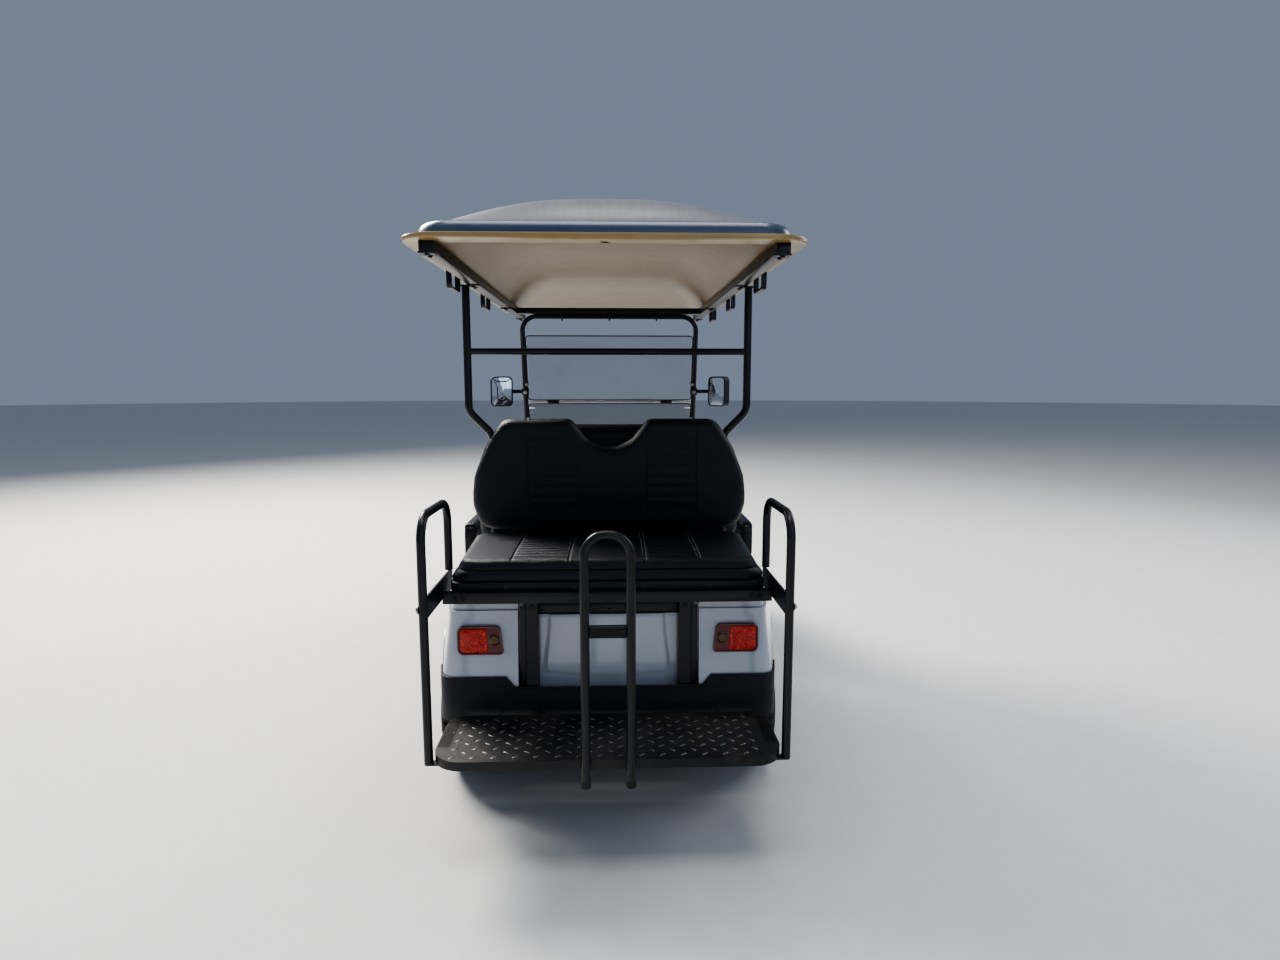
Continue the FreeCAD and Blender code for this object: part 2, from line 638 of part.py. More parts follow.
def make_chassis():
    z = Sizes
    body = new_body("Rail")
    low = z.rail_low
    up = low + z.rail_rise
    kick = z.rail_kick_y
    end = kick - z.rail_kick_run
    tall = z.rail_height
    front = z.front_bumper_y - z.front_bumper_thick - z.seat_gap
    outline = [
        (front, low), (front, low + tall), (kick, low + tall), (end, up + tall),
        (z.rail_rear_y, up + tall), (z.rail_rear_y, up), (end, up), (kick, low),
    ]
    pad(body, "RailPad", "side", z.rail_x - z.rail_width / 2, z.rail_x + z.rail_width / 2, outline)
    items = [body, mirror("RailOther", body)]
    inside = z.rail_x
    half = z.spring_width / 2
    front_reach = z.front_spring_span / 2
    rear_reach = z.rear_spring_span / 2
    rows = (
        # name, y, half depth in y, half length in x, low z, high z
        ("CrossFront", front - 22, 20, inside, low + 6, low + tall),
        ("CrossToe", z.toe_y - 40, 22, z.floor_half_width - 20, low + 8, low + tall),
        ("CrossSeat", z.seat_bay_front_y - 20, 22, z.floor_half_width - 20, low + 8, low + tall),
        ("CrossMiddle", kick + 30, 22, z.floor_half_width - 20, low + 8, low + tall),
        ("CrossRear", z.rear_axle_y - rear_reach, 15, z.rear_spring_x + half, up, up + tall),
        ("CrossTail", z.rail_rear_y + 6, 6, z.post_x + z.post_width / 2, up + 4, up + tall),
        ("CrossArch", z.rear_axle_y + rear_reach, 20, z.rear_spring_x + half, low + tall - 4, low + tall + 60),
    )
    for name, y, half_y, half_x, low_z, high_z in rows:
        items.append(box(name, (-1 * half_x, y - half_y, low_z), (half_x, y + half_y, high_z)))
    frame = fuse("ChassisBars", items)
    rear_eye = rear_spring_seat() + z.rear_spring_rise + 4
    front_eye = front_spring_seat() + z.front_spring_rise + 4
    carrier_top = z.plate_top - z.plate_rim
    rooms = []
    hangers = []
    table = (
        # name, x, y, eye z, foot z, top z
        ("RearBack", z.rear_spring_x, z.rear_axle_y - rear_reach, rear_eye, carrier_top, up + 4),
        ("RearAhead", z.rear_spring_x, z.rear_axle_y + rear_reach, rear_eye, rear_eye - 25, low + tall + 4),
        ("FrontBack", z.rail_x, z.front_axle_y - front_reach, front_eye, front_eye - 25, low + 4),
        ("FrontAhead", z.rail_x, z.front_axle_y + front_reach, front_eye, front_eye - 25, low + 4),
    )
    wall = z.hanger_wall
    for name, x, y, eye_z, foot_z, top_z in table:
        hangers.append(box("Hanger" + name, (x - half - wall, y - z.eye_radius - 6, foot_z),
                           (x + half + wall, y + z.eye_radius + 6, top_z)))
        rooms.append(box("Room" + name, (x - half - z.seat_gap, y - z.eye_radius - 40, foot_z - 4),
                         (x + half + z.seat_gap, y + z.eye_radius + 40, eye_z + z.eye_radius + 1)))
    frame = fuse("ChassisHangers", [frame] + hangers + [mirror(h.Name + "M", h) for h in hangers])
    frame = cut("ChassisRooms", frame, rooms + [mirror(r.Name + "M", r) for r in rooms])
    keep("chassis_frame", frame)


def make_floor():
    z = Sizes
    body = new_body("Floor")
    top = z.rail_low + z.rail_height + z.floor_thick
    low = z.rail_low + z.rail_height
    outline = [
        (z.floor_rear_y, low), (z.toe_y, low), (z.toe_y + z.toe_run, z.toe_top),
        (z.toe_y + z.toe_run - z.floor_thick, z.toe_top), (z.toe_y - z.floor_thick, top), (z.floor_rear_y, top),
    ]
    half = z.floor_half_width
    pad(body, "FloorPan", "side", -1 * half, half, outline)
    keep("floor_pan", body)


def make_battery():
    z = Sizes
    low = z.rail_low + z.rail_height + z.floor_thick + z.seat_gap
    half = z.battery_half_width
    front = z.battery_front_y
    keep("battery_pack", box("Battery", (-1 * half, front - z.battery_length, low),
                             (half, front, low + z.battery_height)))


# Rear body

def body_outline(inset, front_y=None):
    """The rear body's plan, drawn in by an inset."""
    z = Sizes
    front = z.body_front_y - inset if front_y is None else front_y
    half = [
        (z.body_half_rear - inset, z.body_rear_y + inset, z.body_corner - inset * 0.5),
        (z.body_half_axle - inset, z.rear_axle_y, z.side_curve),
        (z.body_half_front - inset, front, 24),
    ]
    return both_sides(half)


BODY_LEVELS = (
    # height above body_low as a share of the height to the ledge, and how far the plan is drawn in
    (0.0, 7),
    (0.37, 0.6),
    (0.80, 16),
    (1.0, 21),
)
STEP_INSET = 29


def body_ledge():
    """Height of the ledge under the step that carries the seats."""
    return Sizes.body_top - Sizes.ledge_drop


def make_rear_body():
    z = Sizes
    body = new_body("RearBody")
    tall = body_ledge() - z.body_low
    outer = [(z.body_low + tall * share, body_outline(as_size(inset))) for share, inset in BODY_LEVELS]
    loft(body, "BodyOuter", "top", "Additive", outer)
    pad(body, "BodyStep", "top", body_ledge() - z.body_wall, z.body_top, body_outline(as_size(STEP_INSET)))
    wall = z.body_wall
    inner = []
    for share, inset in BODY_LEVELS:
        place = z.body_low + (tall - wall) * share if share > 0 else z.body_low - 1
        inner.append((place, body_outline(wall + inset)))
    loft(body, "BodyInner", "top", "Subtractive", inner)
    pocket(body, "StepInner", "top", body_ledge() - 2 * wall, z.body_top - wall, body_outline(wall + STEP_INSET))
    pocket(body, "SeatBay", "top", z.body_top - 2 * wall, z.body_top + 1,
           rectangle(-1 * z.seat_bay_half, z.seat_bay_rear_y, z.seat_bay_half, z.seat_bay_front_y, 20))
    pocket(body, "BagWell", "top", z.body_top - 2 * wall, z.body_top + 1,
           rectangle(-1 * z.well_half, z.well_rear_y, z.well_half, z.well_front_y, 30))
    tail = z.body_rear_y - 20
    pocket(body, "TailCut", "side", -1 * z.body_half_axle - 5, z.body_half_axle + 5,
           [(tail, z.body_low - 5), (z.rear_axle_y, z.body_low - 5), (z.rear_axle_y, z.body_tail_low),
            (tail, z.body_tail_low)])
    floor_top = z.rail_low + z.rail_height + z.floor_thick + z.seat_gap
    pocket(body, "FloorRoom", "back", z.body_front_y - 40, z.body_front_y + 2,
           rectangle(-1 * z.floor_half_width - z.seat_gap, z.body_low - 5,
                     z.floor_half_width + z.seat_gap, floor_top))
    drill(body, "Arches", "side", -1 * z.body_half_axle - 5, z.body_half_axle + 5,
          [(z.rear_axle_y, z.tyre_radius, z.rear_arch_radius)])
    back = z.body_rear_y + z.recess_depth
    half = z.recess_half
    pocket(body, "RecessMouth", "back", z.body_rear_y - 5, back + 2,
           rectangle(-1 * half, z.body_tail_low - 5, half, z.body_top + 5))
    for name, side in (("LampHoleLeft", -1), ("LampHoleRight", 1)):
        pocket(body, name, "back", z.body_rear_y - 5, z.body_rear_y + 60, lamp_outline(side, z.seat_gap))
    sections = [(z.body_tail_low, recess_outline(z.body_rear_y + 3))]
    for share, inset in BODY_LEVELS[2:]:
        sections.append((z.body_low + (tall - 0.5) * share, recess_outline(z.body_rear_y + inset + 2)))
    loft(body, "RecessWall", "top", "Additive", sections)
    pad(body, "RecessStep", "top", body_ledge() - wall, z.body_top - 1, recess_outline(z.body_rear_y + STEP_INSET + 2))
    pocket(body, "PanelHole", "back", back - 1, back + wall + 1,
           rectangle(-1 * z.panel_half + 18, z.panel_low + 18, z.panel_half - 18, z.panel_high - 18, 20))
    keep("rear_body", body)


def recess_outline(start):
    """Plan of the wall around the recess in the tail: two sides from start, and the back."""
    z = Sizes
    wall = z.body_wall
    back = z.body_rear_y + z.recess_depth
    half = z.recess_half
    return both_sides([(half, back), (half, start), (half + wall, start), (half + wall, back + wall)])


def lamp_outline(side, gap):
    """The tail lamp from behind: a rounded block whose inner edge leans in at the foot."""
    z = Sizes
    rows = [
        (z.lamp_out + gap, z.lamp_low - gap, z.lamp_corner), (z.lamp_out + gap, z.lamp_high + gap, z.lamp_corner),
        (z.lamp_in + z.lamp_slant - gap, z.lamp_high + gap, z.lamp_corner),
        (z.lamp_in - gap, z.lamp_low - gap, z.lamp_corner * 0.5),
    ]
    return [(side * as_size(row[0]),) + row[1:] for row in rows]


def make_tail_lamps():
    z = Sizes
    items = []
    for name, side in (("TailLampLeft", -1), ("TailLampRight", 1)):
        body = new_body(name)
        pad(body, name + "Lens", "back", z.body_rear_y + z.lamp_back, z.body_rear_y + z.lamp_depth,
            lamp_outline(side, 0))
        items.append(body)
    keep("tail_lamps", together("TailLamps", items))


def make_access_panel():
    z = Sizes
    body = new_body("AccessPanel")
    back = z.body_rear_y + z.recess_depth
    pad(body, "PanelPad", "back", back - z.panel_thick, back,
        rectangle(-1 * z.panel_half + 1, z.panel_low, z.panel_half - 1, z.panel_high, 22))
    keep("rear_access_panel", body)


def bumper_outline(stand, front_y):
    """The bumper's plan: the body's tail and the start of its sides, stood off by a little."""
    z = Sizes
    lean = (z.body_half_axle - z.body_half_rear) / (z.rear_axle_y - z.body_rear_y)
    half = [
        (z.body_half_rear + stand - lean * stand, z.body_rear_y - stand, z.body_corner + stand),
        (z.body_half_rear + stand + lean * (front_y - z.body_rear_y), front_y),
    ]
    return both_sides(half)


def make_rear_bumper():
    z = Sizes
    body = new_body("RearBumper")
    front_y = z.body_rear_y + z.bumper_side
    outer = bumper_outline(z.bumper_gap + z.bumper_wall, front_y)
    pad(body, "BumperOuter", "top", z.bumper_low, z.bumper_top, outer)
    inner = bumper_outline(z.bumper_gap, front_y + 10)
    pocket(body, "BumperInner", "top", z.bumper_low - 1, z.bumper_top + 1, inner)
    step = z.body_half_rear - z.bumper_step
    pocket(body, "BumperStep", "back", z.body_rear_y - 30, z.body_rear_y + 60,
           both_sides([(step - z.bumper_step_run, z.bumper_middle_top), (step, z.bumper_top + 1)]))
    drill(body, "BumperArches", "side", -1 * z.body_half_axle - 5, z.body_half_axle + 5,
          [(z.rear_axle_y, z.tyre_radius, z.rear_arch_radius)])
    face = z.body_rear_y - z.bumper_gap - z.bumper_wall
    half = z.arch_half
    top = z.bumper_low + z.arch_rise
    pad(body, "BumperArch", "back", face - z.arch_rib, face + 1,
        both_sides([(half, z.bumper_low), (half - 3, top - 40), (half - 33, top - 18, 60), (half - 100, top)]))
    keep("rear_bumper", body)


# Front body

COWL_SECTIONS = (
    # distance along the cowl as a share, half width low, half width high, top height, corner radius
    (0.0, 560, 522, 812, 60),
    (0.35, 572, 500, 806, 80),
    (0.70, 560, 440, 742, 90),
    (0.92, 515, 380, 640, 80),
    (1.0, 476, 350, 590, 60),
)


def cowl_sections(inset, low):
    z = Sizes
    run = z.cowl_front_y - z.cowl_rear_y
    rows = []
    for share, wide, narrow, top, radius in COWL_SECTIONS:
        half = [
            (wide - inset, low), (wide - inset, low + z.cowl_flare - inset, z.cowl_flare_radius),
            (narrow - inset, top - inset, as_size(radius) - inset * 0.5),
        ]
        end = -1 * inset if share == 1.0 else as_size(0)
        start = -1 if share == 0.0 and float(as_size(inset)) > 0 else 0
        rows.append((z.cowl_rear_y + run * share + end + start, both_sides(half)))
    return rows


def make_front_cowl():
    z = Sizes
    body = new_body("FrontCowl")
    loft(body, "CowlOuter", "back", "Additive", cowl_sections(as_size(0), z.cowl_low))
    loft(body, "CowlInner", "back", "Subtractive", cowl_sections(z.cowl_wall, z.cowl_low - 1))
    reach = z.front_half_track + z.tyre_width
    drill(body, "FrontArches", "side", -1 * reach, reach, [(z.front_axle_y, z.tyre_radius, z.front_arch_radius)])
    for name, side in (("HeadHoleLeft", -1), ("HeadHoleRight", 1)):
        pocket(body, name, "back", z.cowl_front_y - 120, z.cowl_front_y + 10, head_outline(side, z.seat_gap))
    holes = []
    for name, x in (("FrameHoleLeft", -1 * z.frame_half), ("FrameHoleRight", z.frame_half)):
        hole = cylinder(name, "z", (0, 0, 0), 2 * z.frame_drop, z.frame_radius + z.seat_gap)
        holes.append(leaned(hole, -1 * z.frame_drop, x))
    keep("front_cowl", cut("Cowl", body, holes))


def head_outline(side, gap):
    z = Sizes
    rows = [
        (z.head_lamp_out + gap, z.head_lamp_low + 12 - gap, 24), (z.head_lamp_out + gap, z.head_lamp_high + gap, 30),
        (z.head_lamp_in - gap, z.head_lamp_high - 10 + gap, 20), (z.head_lamp_in + 16 - gap, z.head_lamp_low - gap, 20),
    ]
    return [(side * as_size(row[0]),) + row[1:] for row in rows]


def make_head_lamps():
    z = Sizes
    items = []
    for name, side in (("HeadLampLeft", -1), ("HeadLampRight", 1)):
        body = new_body(name)
        pad(body, name + "Lens", "back", z.cowl_front_y - z.head_lamp_depth, z.cowl_front_y - 2,
            head_outline(side, 0))
        items.append(body)
    keep("head_lamps", together("HeadLamps", items))


def make_front_bumper():
    z = Sizes
    body = new_body("FrontBumper")
    y = z.front_bumper_y
    half = z.front_bumper_half
    back = y - z.front_bumper_thick
    outline = both_sides([(half, back), (half, back + 10, 8), (half * 0.5, y, 150)])
    pad(body, "FrontBumperPad", "top", z.front_bumper_low, z.cowl_low - z.seat_gap, outline)
    keep("front_bumper", body)


def make_dashboard():
    z = Sizes
    body = new_body("Dashboard")
    y = z.dash_y
    back = z.cowl_rear_y - z.seat_gap
    low = z.toe_top + z.seat_gap
    outline = [
        (back, low), (back, z.dash_high), (y + 30, z.dash_high, 24), (y, z.dash_high - 70, 30), (y + 50, low, 10),
    ]
    pad(body, "DashPad", "side", -1 * z.dash_half, z.dash_half, outline)
    tunnel = leaned_column(cylinder("ColumnTunnel", "z", (0, 0, 0), z.column_length + 200,
                                     z.column_radius + z.seat_gap))
    keep("dashboard", cut("Dash", body, [tunnel]))


def leaned_column(item):
    """Put an upright piece on the steering axis, its foot end first, reaching up to the wheel."""
    z = Sizes
    turn = FreeCAD.Rotation(V(1, 0, 0), float(z.column_angle))
    down = turn.multVec(V(0, 0, -1))
    item.Placement = FreeCAD.Placement(V(0, 0, 0), turn)
    shift_y = Size(down.y, "sin(" + z.column_angle.formula + ")")
    shift_z = Size(down.z, "(-1 * cos(" + z.column_angle.formula + "))")
    bind(item, "Placement.Rotation.Angle", z.column_angle)
    move(item, z.wheel_x, z.wheel_y + shift_y * z.column_length, z.wheel_z + shift_z * z.column_length)
    return item


def leaned(item, start=0, x=0):
    """Lay an upright piece into the plane of the front roof frame, from a place along the frame's legs."""
    z = Sizes
    item.Placement = FreeCAD.Placement(V(0, 0, 0), FreeCAD.Rotation(V(1, 0, 0), float(z.frame_angle)))
    bind(item, "Placement.Rotation.Angle", z.frame_angle)
    shift_y = Size(-math.sin(math.radians(float(z.frame_angle))), "(-1 * sin(" + z.frame_angle.formula + "))")
    shift_z = Size(math.cos(math.radians(float(z.frame_angle))), "cos(" + z.frame_angle.formula + ")")
    move(item, x, z.frame_base_y + shift_y * start, z.frame_base_z + shift_z * start)
    return item


def make_steering():
    z = Sizes
    column = leaned_column(cylinder("Column", "z", (0, 0, 0), z.column_length - z.wheel_dish - 10 - z.seat_gap,
                                     z.column_radius))
    keep("steering_column", column)
    ring = DOC.addObject("Part::Torus", "WheelRing")
    bind(ring, "Radius1", z.wheel_ring)
    bind(ring, "Radius2", z.wheel_grip)
    hub = cylinder("WheelHub", "z", (0, 0, -1 * z.wheel_dish - 10), z.wheel_hub_depth, z.wheel_hub_radius)
    items = [ring, hub]
    for index in range(3):
        body = new_body("Spoke" + str(index))
        reach = z.wheel_ring - z.wheel_grip / 2
        thick = z.spoke_thick
        outline = [(20, -1 * z.wheel_dish), (z.wheel_hub_radius, -1 * z.wheel_dish), (reach, -0.5 * thick),
                   (reach, 0.5 * thick), (z.wheel_hub_radius, thick - z.wheel_dish), (20, thick - z.wheel_dish)]
        pad(body, "SpokePad" + str(index), "back", z.spoke_width / -2, z.spoke_width / 2, outline)
        body.Placement = FreeCAD.Placement(V(0, 0, 0), FreeCAD.Rotation(V(0, 0, 1), -90 + 120 * index))
        items.append(body)
    wheel = fuse("SteeringWheel", items)
    wheel.Placement = FreeCAD.Placement(V(0, 0, 0), FreeCAD.Rotation(V(1, 0, 0), float(z.column_angle)))
    bind(wheel, "Placement.Rotation.Angle", z.column_angle)
    move(wheel, z.wheel_x, z.wheel_y, z.wheel_z)
    keep("steering_wheel", wheel)


def make_pedals():
    z = Sizes
    items = []
    low = z.rail_low + z.rail_height + z.floor_thick
    face = z.toe_y - z.floor_thick + z.toe_run * 88 / (z.toe_top - low)
    for name, x in (("BrakePedal", z.wheel_x + 70), ("GoPedal", z.wheel_x + 70 + z.pedal_width + z.pedal_gap)):
        body = new_body(name)
        y = z.toe_y - 96
        outline = [
            (y, low + 40), (y + 8, low + 36), (y + 50, low + 36 + z.pedal_height), (y + 42, low + 40 + z.pedal_height),
        ]
        pad(body, name + "Pad", "side", x - z.pedal_width / 2, x + z.pedal_width / 2, outline)
        stem = box(name + "Stem", (x - 8, y + 26, low + 88), (x + 8, face - z.seat_gap, low + 100))
        items.append(fuse(name + "Solid", [body, stem]))
    keep("pedals", together("Pedals", items))


# Roof, its frames and the windshield

def roof_rail_low():
    return Sizes.frame_top + Sizes.frame_radius + Sizes.seat_gap


def make_rear_roof_frame():
    z = Sizes
    foot = z.body_top + 3
    corners = [
        (z.strut_foot_x, foot), (z.strut_foot_x, z.strut_bend_low, z.strut_bend),
        (z.strut_x, z.strut_bend_high, z.strut_bend), (z.strut_x, roof_rail_low() - z.seat_gap),
    ]
    strut = tube("Strut", "back", z.strut_y, corners, z.strut_radius, "top")
    flange = cylinder("StrutFlange", "z", (z.strut_foot_x, z.strut_y, z.body_top + 0.2), 5, 34)
    bar = cylinder("CrossBar", "x", (-1 * z.strut_x, z.strut_y, z.crossbar_z), 2 * z.strut_x, z.crossbar_radius)
    head = box("StrutHead", (z.roof_rail_x, z.strut_y - 22, roof_rail_low() - z.seat_gap - 6),
               (z.strut_x + z.strut_radius, z.strut_y + 22, roof_rail_low() - z.seat_gap))
    items = [bar]
    for item in (strut, flange, head):
        items += [item, mirror(item.Name + "Other", item)]
    keep("rear_roof_frame", fuse("RearRoofFrame", items))


def up_frame(height):
    """Distance along the leaning frame at a height above the floor."""
    z = Sizes
    cosine = Size(math.cos(math.radians(float(z.frame_angle))), "cos(" + z.frame_angle.formula + ")")
    return (as_size(height) - z.frame_base_z) / cosine


def make_front_roof_frame():
    z = Sizes
    top = up_frame(z.frame_top)
    corners = [
        (-1 * z.frame_half, -1 * z.frame_drop), (-1 * z.frame_half, top, z.frame_bend),
        (z.frame_half, top, z.frame_bend), (z.frame_half, -1 * z.frame_drop),
    ]
    hoop = tube("FrontHoop", "back", 0, corners, z.frame_radius, "top")
    foot = cylinder("FrontFoot", "x", (-1 * z.frame_half, 0, -1 * z.frame_drop), 2 * z.frame_half, z.frame_radius)
    frame = fuse("FrontRoofFrame", [hoop, foot])
    keep("front_roof_frame", leaned(frame))


def make_windshield():
    z = Sizes
    half = z.frame_half - z.screen_inset
    seam = up_frame(z.screen_seam)
    top = up_frame(z.screen_top)
    body = new_body("Screen")
    thin = z.screen_thick / 2
    gap = z.screen_seam_gap / 2
    pad(body, "ScreenPad", "back", -1 * thin, thin,
        rectangle(-1 * half, z.screen_low, half, seam - gap, 18), rectangle(-1 * half, seam + gap, half, top, 18))
    items = [body]
    seam_bar = box("SeamBar", (-1 * half + 6, -1 * thin - 3, seam - 9), (half - 6, thin + 3, seam + 9))
    items.append(seam_bar)
    reach = z.frame_half - z.frame_radius - z.seat_gap
    table = (("ClipLow", z.screen_low + 60), ("ClipSeam", seam - 60), ("ClipHigh", top - 110))
    for name, place in table:
        clip = box(name, (half - 24, -1 * thin - 5, place), (reach, thin + 5, place + z.clip_height))
        items += [clip, mirror(name + "Other", clip)]
    keep("windshield", leaned(fuse("Windshield", items)))


def make_roof_rails():
    z = Sizes
    half = z.roof_rail_width / 2
    rail = box("RoofRail", (z.roof_rail_x - half, z.roof_rail_rear_y, roof_rail_low()),
               (z.roof_rail_x + half, z.roof_rail_front_y, z.rail_top - z.seat_gap))
    keep("roof_rails", fuse("RoofRails", [rail, mirror("RoofRailOther", rail)]))


ROOF_DOME = (
    # height as a share of the rise, how far the edge is drawn in across and along, corner radius
    (0.0, 62, 62, 100),
    (0.25, 106, 92, 105),
    (0.50, 169, 132, 110),
    (0.75, 258, 198, 115),
    (0.92, 365, 297, 110),
    (1.0, 480, 560, 70),
)
ROOF_CEILING = (
    # the same for the hollow underneath
    (0.0, 112, 112, 70),
    (0.35, 130, 128, 75),
    (0.70, 185, 170, 85),
    (0.92, 290, 250, 85),
    (1.0, 400, 400, 80),
)


def roof_sections(low, rise, table):
    z = Sizes
    rows = []
    for share, across, along, corner in table:
        half = z.roof_half - across
        rows.append((low + as_size(rise) * share,
                     rectangle(-1 * half, z.roof_rear_y + along, half, z.roof_front_y - along, corner)))
    return rows


def make_roof():
    z = Sizes
    low = z.rail_top
    body = new_body("RoofShell")
    half = z.roof_half
    pad(body, "RoofLip", "top", low, low + z.roof_lip,
        rectangle(-1 * half, z.roof_rear_y, half, z.roof_front_y, z.roof_corner))
    loft(body, "RoofDome", "top", "Additive", roof_sections(low + z.roof_lip, z.roof_rise - z.roof_lip, ROOF_DOME))
    loft(body, "RoofCeiling", "top", "Subtractive", roof_sections(low - 1, z.ceiling_rise + 1, ROOF_CEILING))
    keep("roof_shell", body)


def make_handles():
    z = Sizes
    items = []
    table = (
        # name, side, middle y
        ("RearLeft", -1, z.handle_rear_y), ("FrontLeft", -1, z.handle_front_y),
        ("RearRight", 1, z.handle_rear_y), ("FrontRight", 1, z.handle_front_y),
        ("ScreenRight", 1, z.handle_screen_y),
    )
    top = z.rail_top - z.seat_gap
    low = top - z.handle_drop
    for name, side, y in table:
        rear = y - z.handle_length / 2
        front = y + z.handle_length / 2
        thick = z.handle_thick
        bend = z.handle_bend
        body = new_body("Handle" + name)
        middle = z.handle_x * side
        outline = [
            (rear, top), (rear, low, bend), (front, low, bend), (front, top), (front - thick, top),
            (front - thick, low + thick, bend - thick), (rear + thick, low + thick, bend - thick), (rear + thick, top),
        ]
        pad(body, "Handle" + name + "Strap", "side", middle - z.handle_width / 2, middle + z.handle_width / 2, outline)
        items.append(body)
    keep("roof_handles", together("RoofHandles", items))


def make_mirrors():
    z = Sizes
    items = []
    frame_y = z.frame_base_y - up_frame(z.mirror_z) * Size(math.sin(math.radians(float(z.frame_angle))),
                                                           "sin(" + z.frame_angle.formula + ")")
    for name, side, turn in (("MirrorLeft", -1, 8), ("MirrorRight", 1, float(z.mirror_turn))):
        shell = new_body(name)
        half = z.mirror_half
        tall = z.mirror_half_height
        pad(shell, name + "Shell", "back", 0, z.mirror_depth, rectangle(-1 * half, -1 * tall, half, tall, 24))
        shell.Placement = FreeCAD.Placement(V(0, 0, 0), FreeCAD.Rotation(V(0, 0, 1), -1 * turn * side))
        move(shell, z.mirror_x * side, frame_y - z.mirror_back, z.mirror_z)
        start = z.frame_half * side
        inner = as_size(z.mirror_x * side)
        low_x = start + 12.8 if side > 0 else inner - 10
        high_x = inner + 10 if side > 0 else start - 12.8
        arm = box(name + "Arm", (low_x, frame_y - 9, z.mirror_z - 9), (high_x, frame_y + 5, z.mirror_z + 9))
        stem = box(name + "Stem", (inner - 9, frame_y - z.mirror_back + 14, z.mirror_z - 8),
                   (inner + 9, frame_y - 2, z.mirror_z + 8))
        items.append(fuse(name + "Solid", [shell, arm, stem]))
    keep("mirror_housings", together("Mirrors", items))


# Seats

def make_front_seat():
    z = Sizes
    body = new_body("FrontCushion")
    low = z.body_top + z.seat_gap
    pad(body, "FrontCushionPad", "top", low, low + z.seat_thick,
        rectangle(-1 * z.seat_half, z.seat_rear_y, z.seat_half, z.seat_front_y, 60))
    top = float(low + z.seat_thick)
    round_edges(body, "FrontCushionRound", 28, lambda edge: edge.CenterOfMass.z > top - 0.5)
    keep("front_seat_cushion", body)
    back = new_body("FrontBack")
    y = z.strut_y + z.strut_radius + z.seat_gap
    half = z.seat_back_half
    outline = both_sides([
        (half - 20, z.seat_back_low, 50), (half, z.seat_back_low + 200, 200), (half - 50, z.seat_back_high, 90),
    ])
    pad(back, "FrontBackPad", "back", y, y + z.seat_back_thick, outline)
    front = float(y + z.seat_back_thick)
    round_edges(back, "FrontBackRound", 24, lambda edge: edge.CenterOfMass.y > front - 0.5)
    keep("front_seat_back", back)


def make_hips():
    z = Sizes
    body = new_body("HipRestraint")
    low = z.body_top + z.seat_gap
    outline = [
        (z.hip_rear_y, low), (z.hip_rear_y, z.hip_top, 40), (z.hip_front_y, z.hip_top, 60),
        (z.hip_front_y, low), (z.hip_front_y - 40, low), (z.hip_front_y - 40, z.hip_top - 40, 30),
        (z.hip_rear_y + 40, z.hip_top - 40, 30), (z.hip_rear_y + 40, low),
    ]
    pad(body, "HipPad", "side", z.hip_x - z.hip_width / 2, z.hip_x + z.hip_width / 2, outline)
    keep("hip_restraints", pair("HipRestraints", body))


def make_rear_seat():
    z = Sizes
    half = z.rear_seat_half
    board = new_body("SeatBoard")
    pad(board, "SeatBoardPad", "top", z.rear_seat_low - z.board_thick, z.rear_seat_low,
        rectangle(-1 * half - 1, z.rear_seat_rear_y + 4, half + 1, z.rear_seat_front_y - 12, 30))
    keep("rear_seat_board", board)
    body = new_body("RearCushion")
    pad(body, "RearCushionPad", "top", z.rear_seat_low, z.rear_seat_top,
        rectangle(-1 * half, z.rear_seat_rear_y, half, z.rear_seat_front_y, 50))
    top = float(z.rear_seat_top)
    round_edges(body, "RearCushionRound", 26, lambda edge: edge.CenterOfMass.z > top - 0.5)
    keep("rear_seat_cushion", body)
    back = new_body("RearBack")
    y = z.strut_y - z.strut_radius - z.seat_gap
    outline = both_sides([
        (z.rear_back_half - 40, z.rear_back_low, 80), (z.rear_back_half, z.rear_back_low + 140, 160),
        (z.rear_back_half - 70, z.rear_back_high, 100), (155, z.rear_back_high, 34), (104, z.rear_back_high - 92, 30),
    ])
    pad(back, "RearBackPad", "back", y - z.rear_back_thick, y, outline)
    rear = float(y - z.rear_back_thick)
    round_edges(back, "RearBackRound", 26, lambda edge: edge.CenterOfMass.y < rear + 0.5)
    keep("rear_seat_back", back)


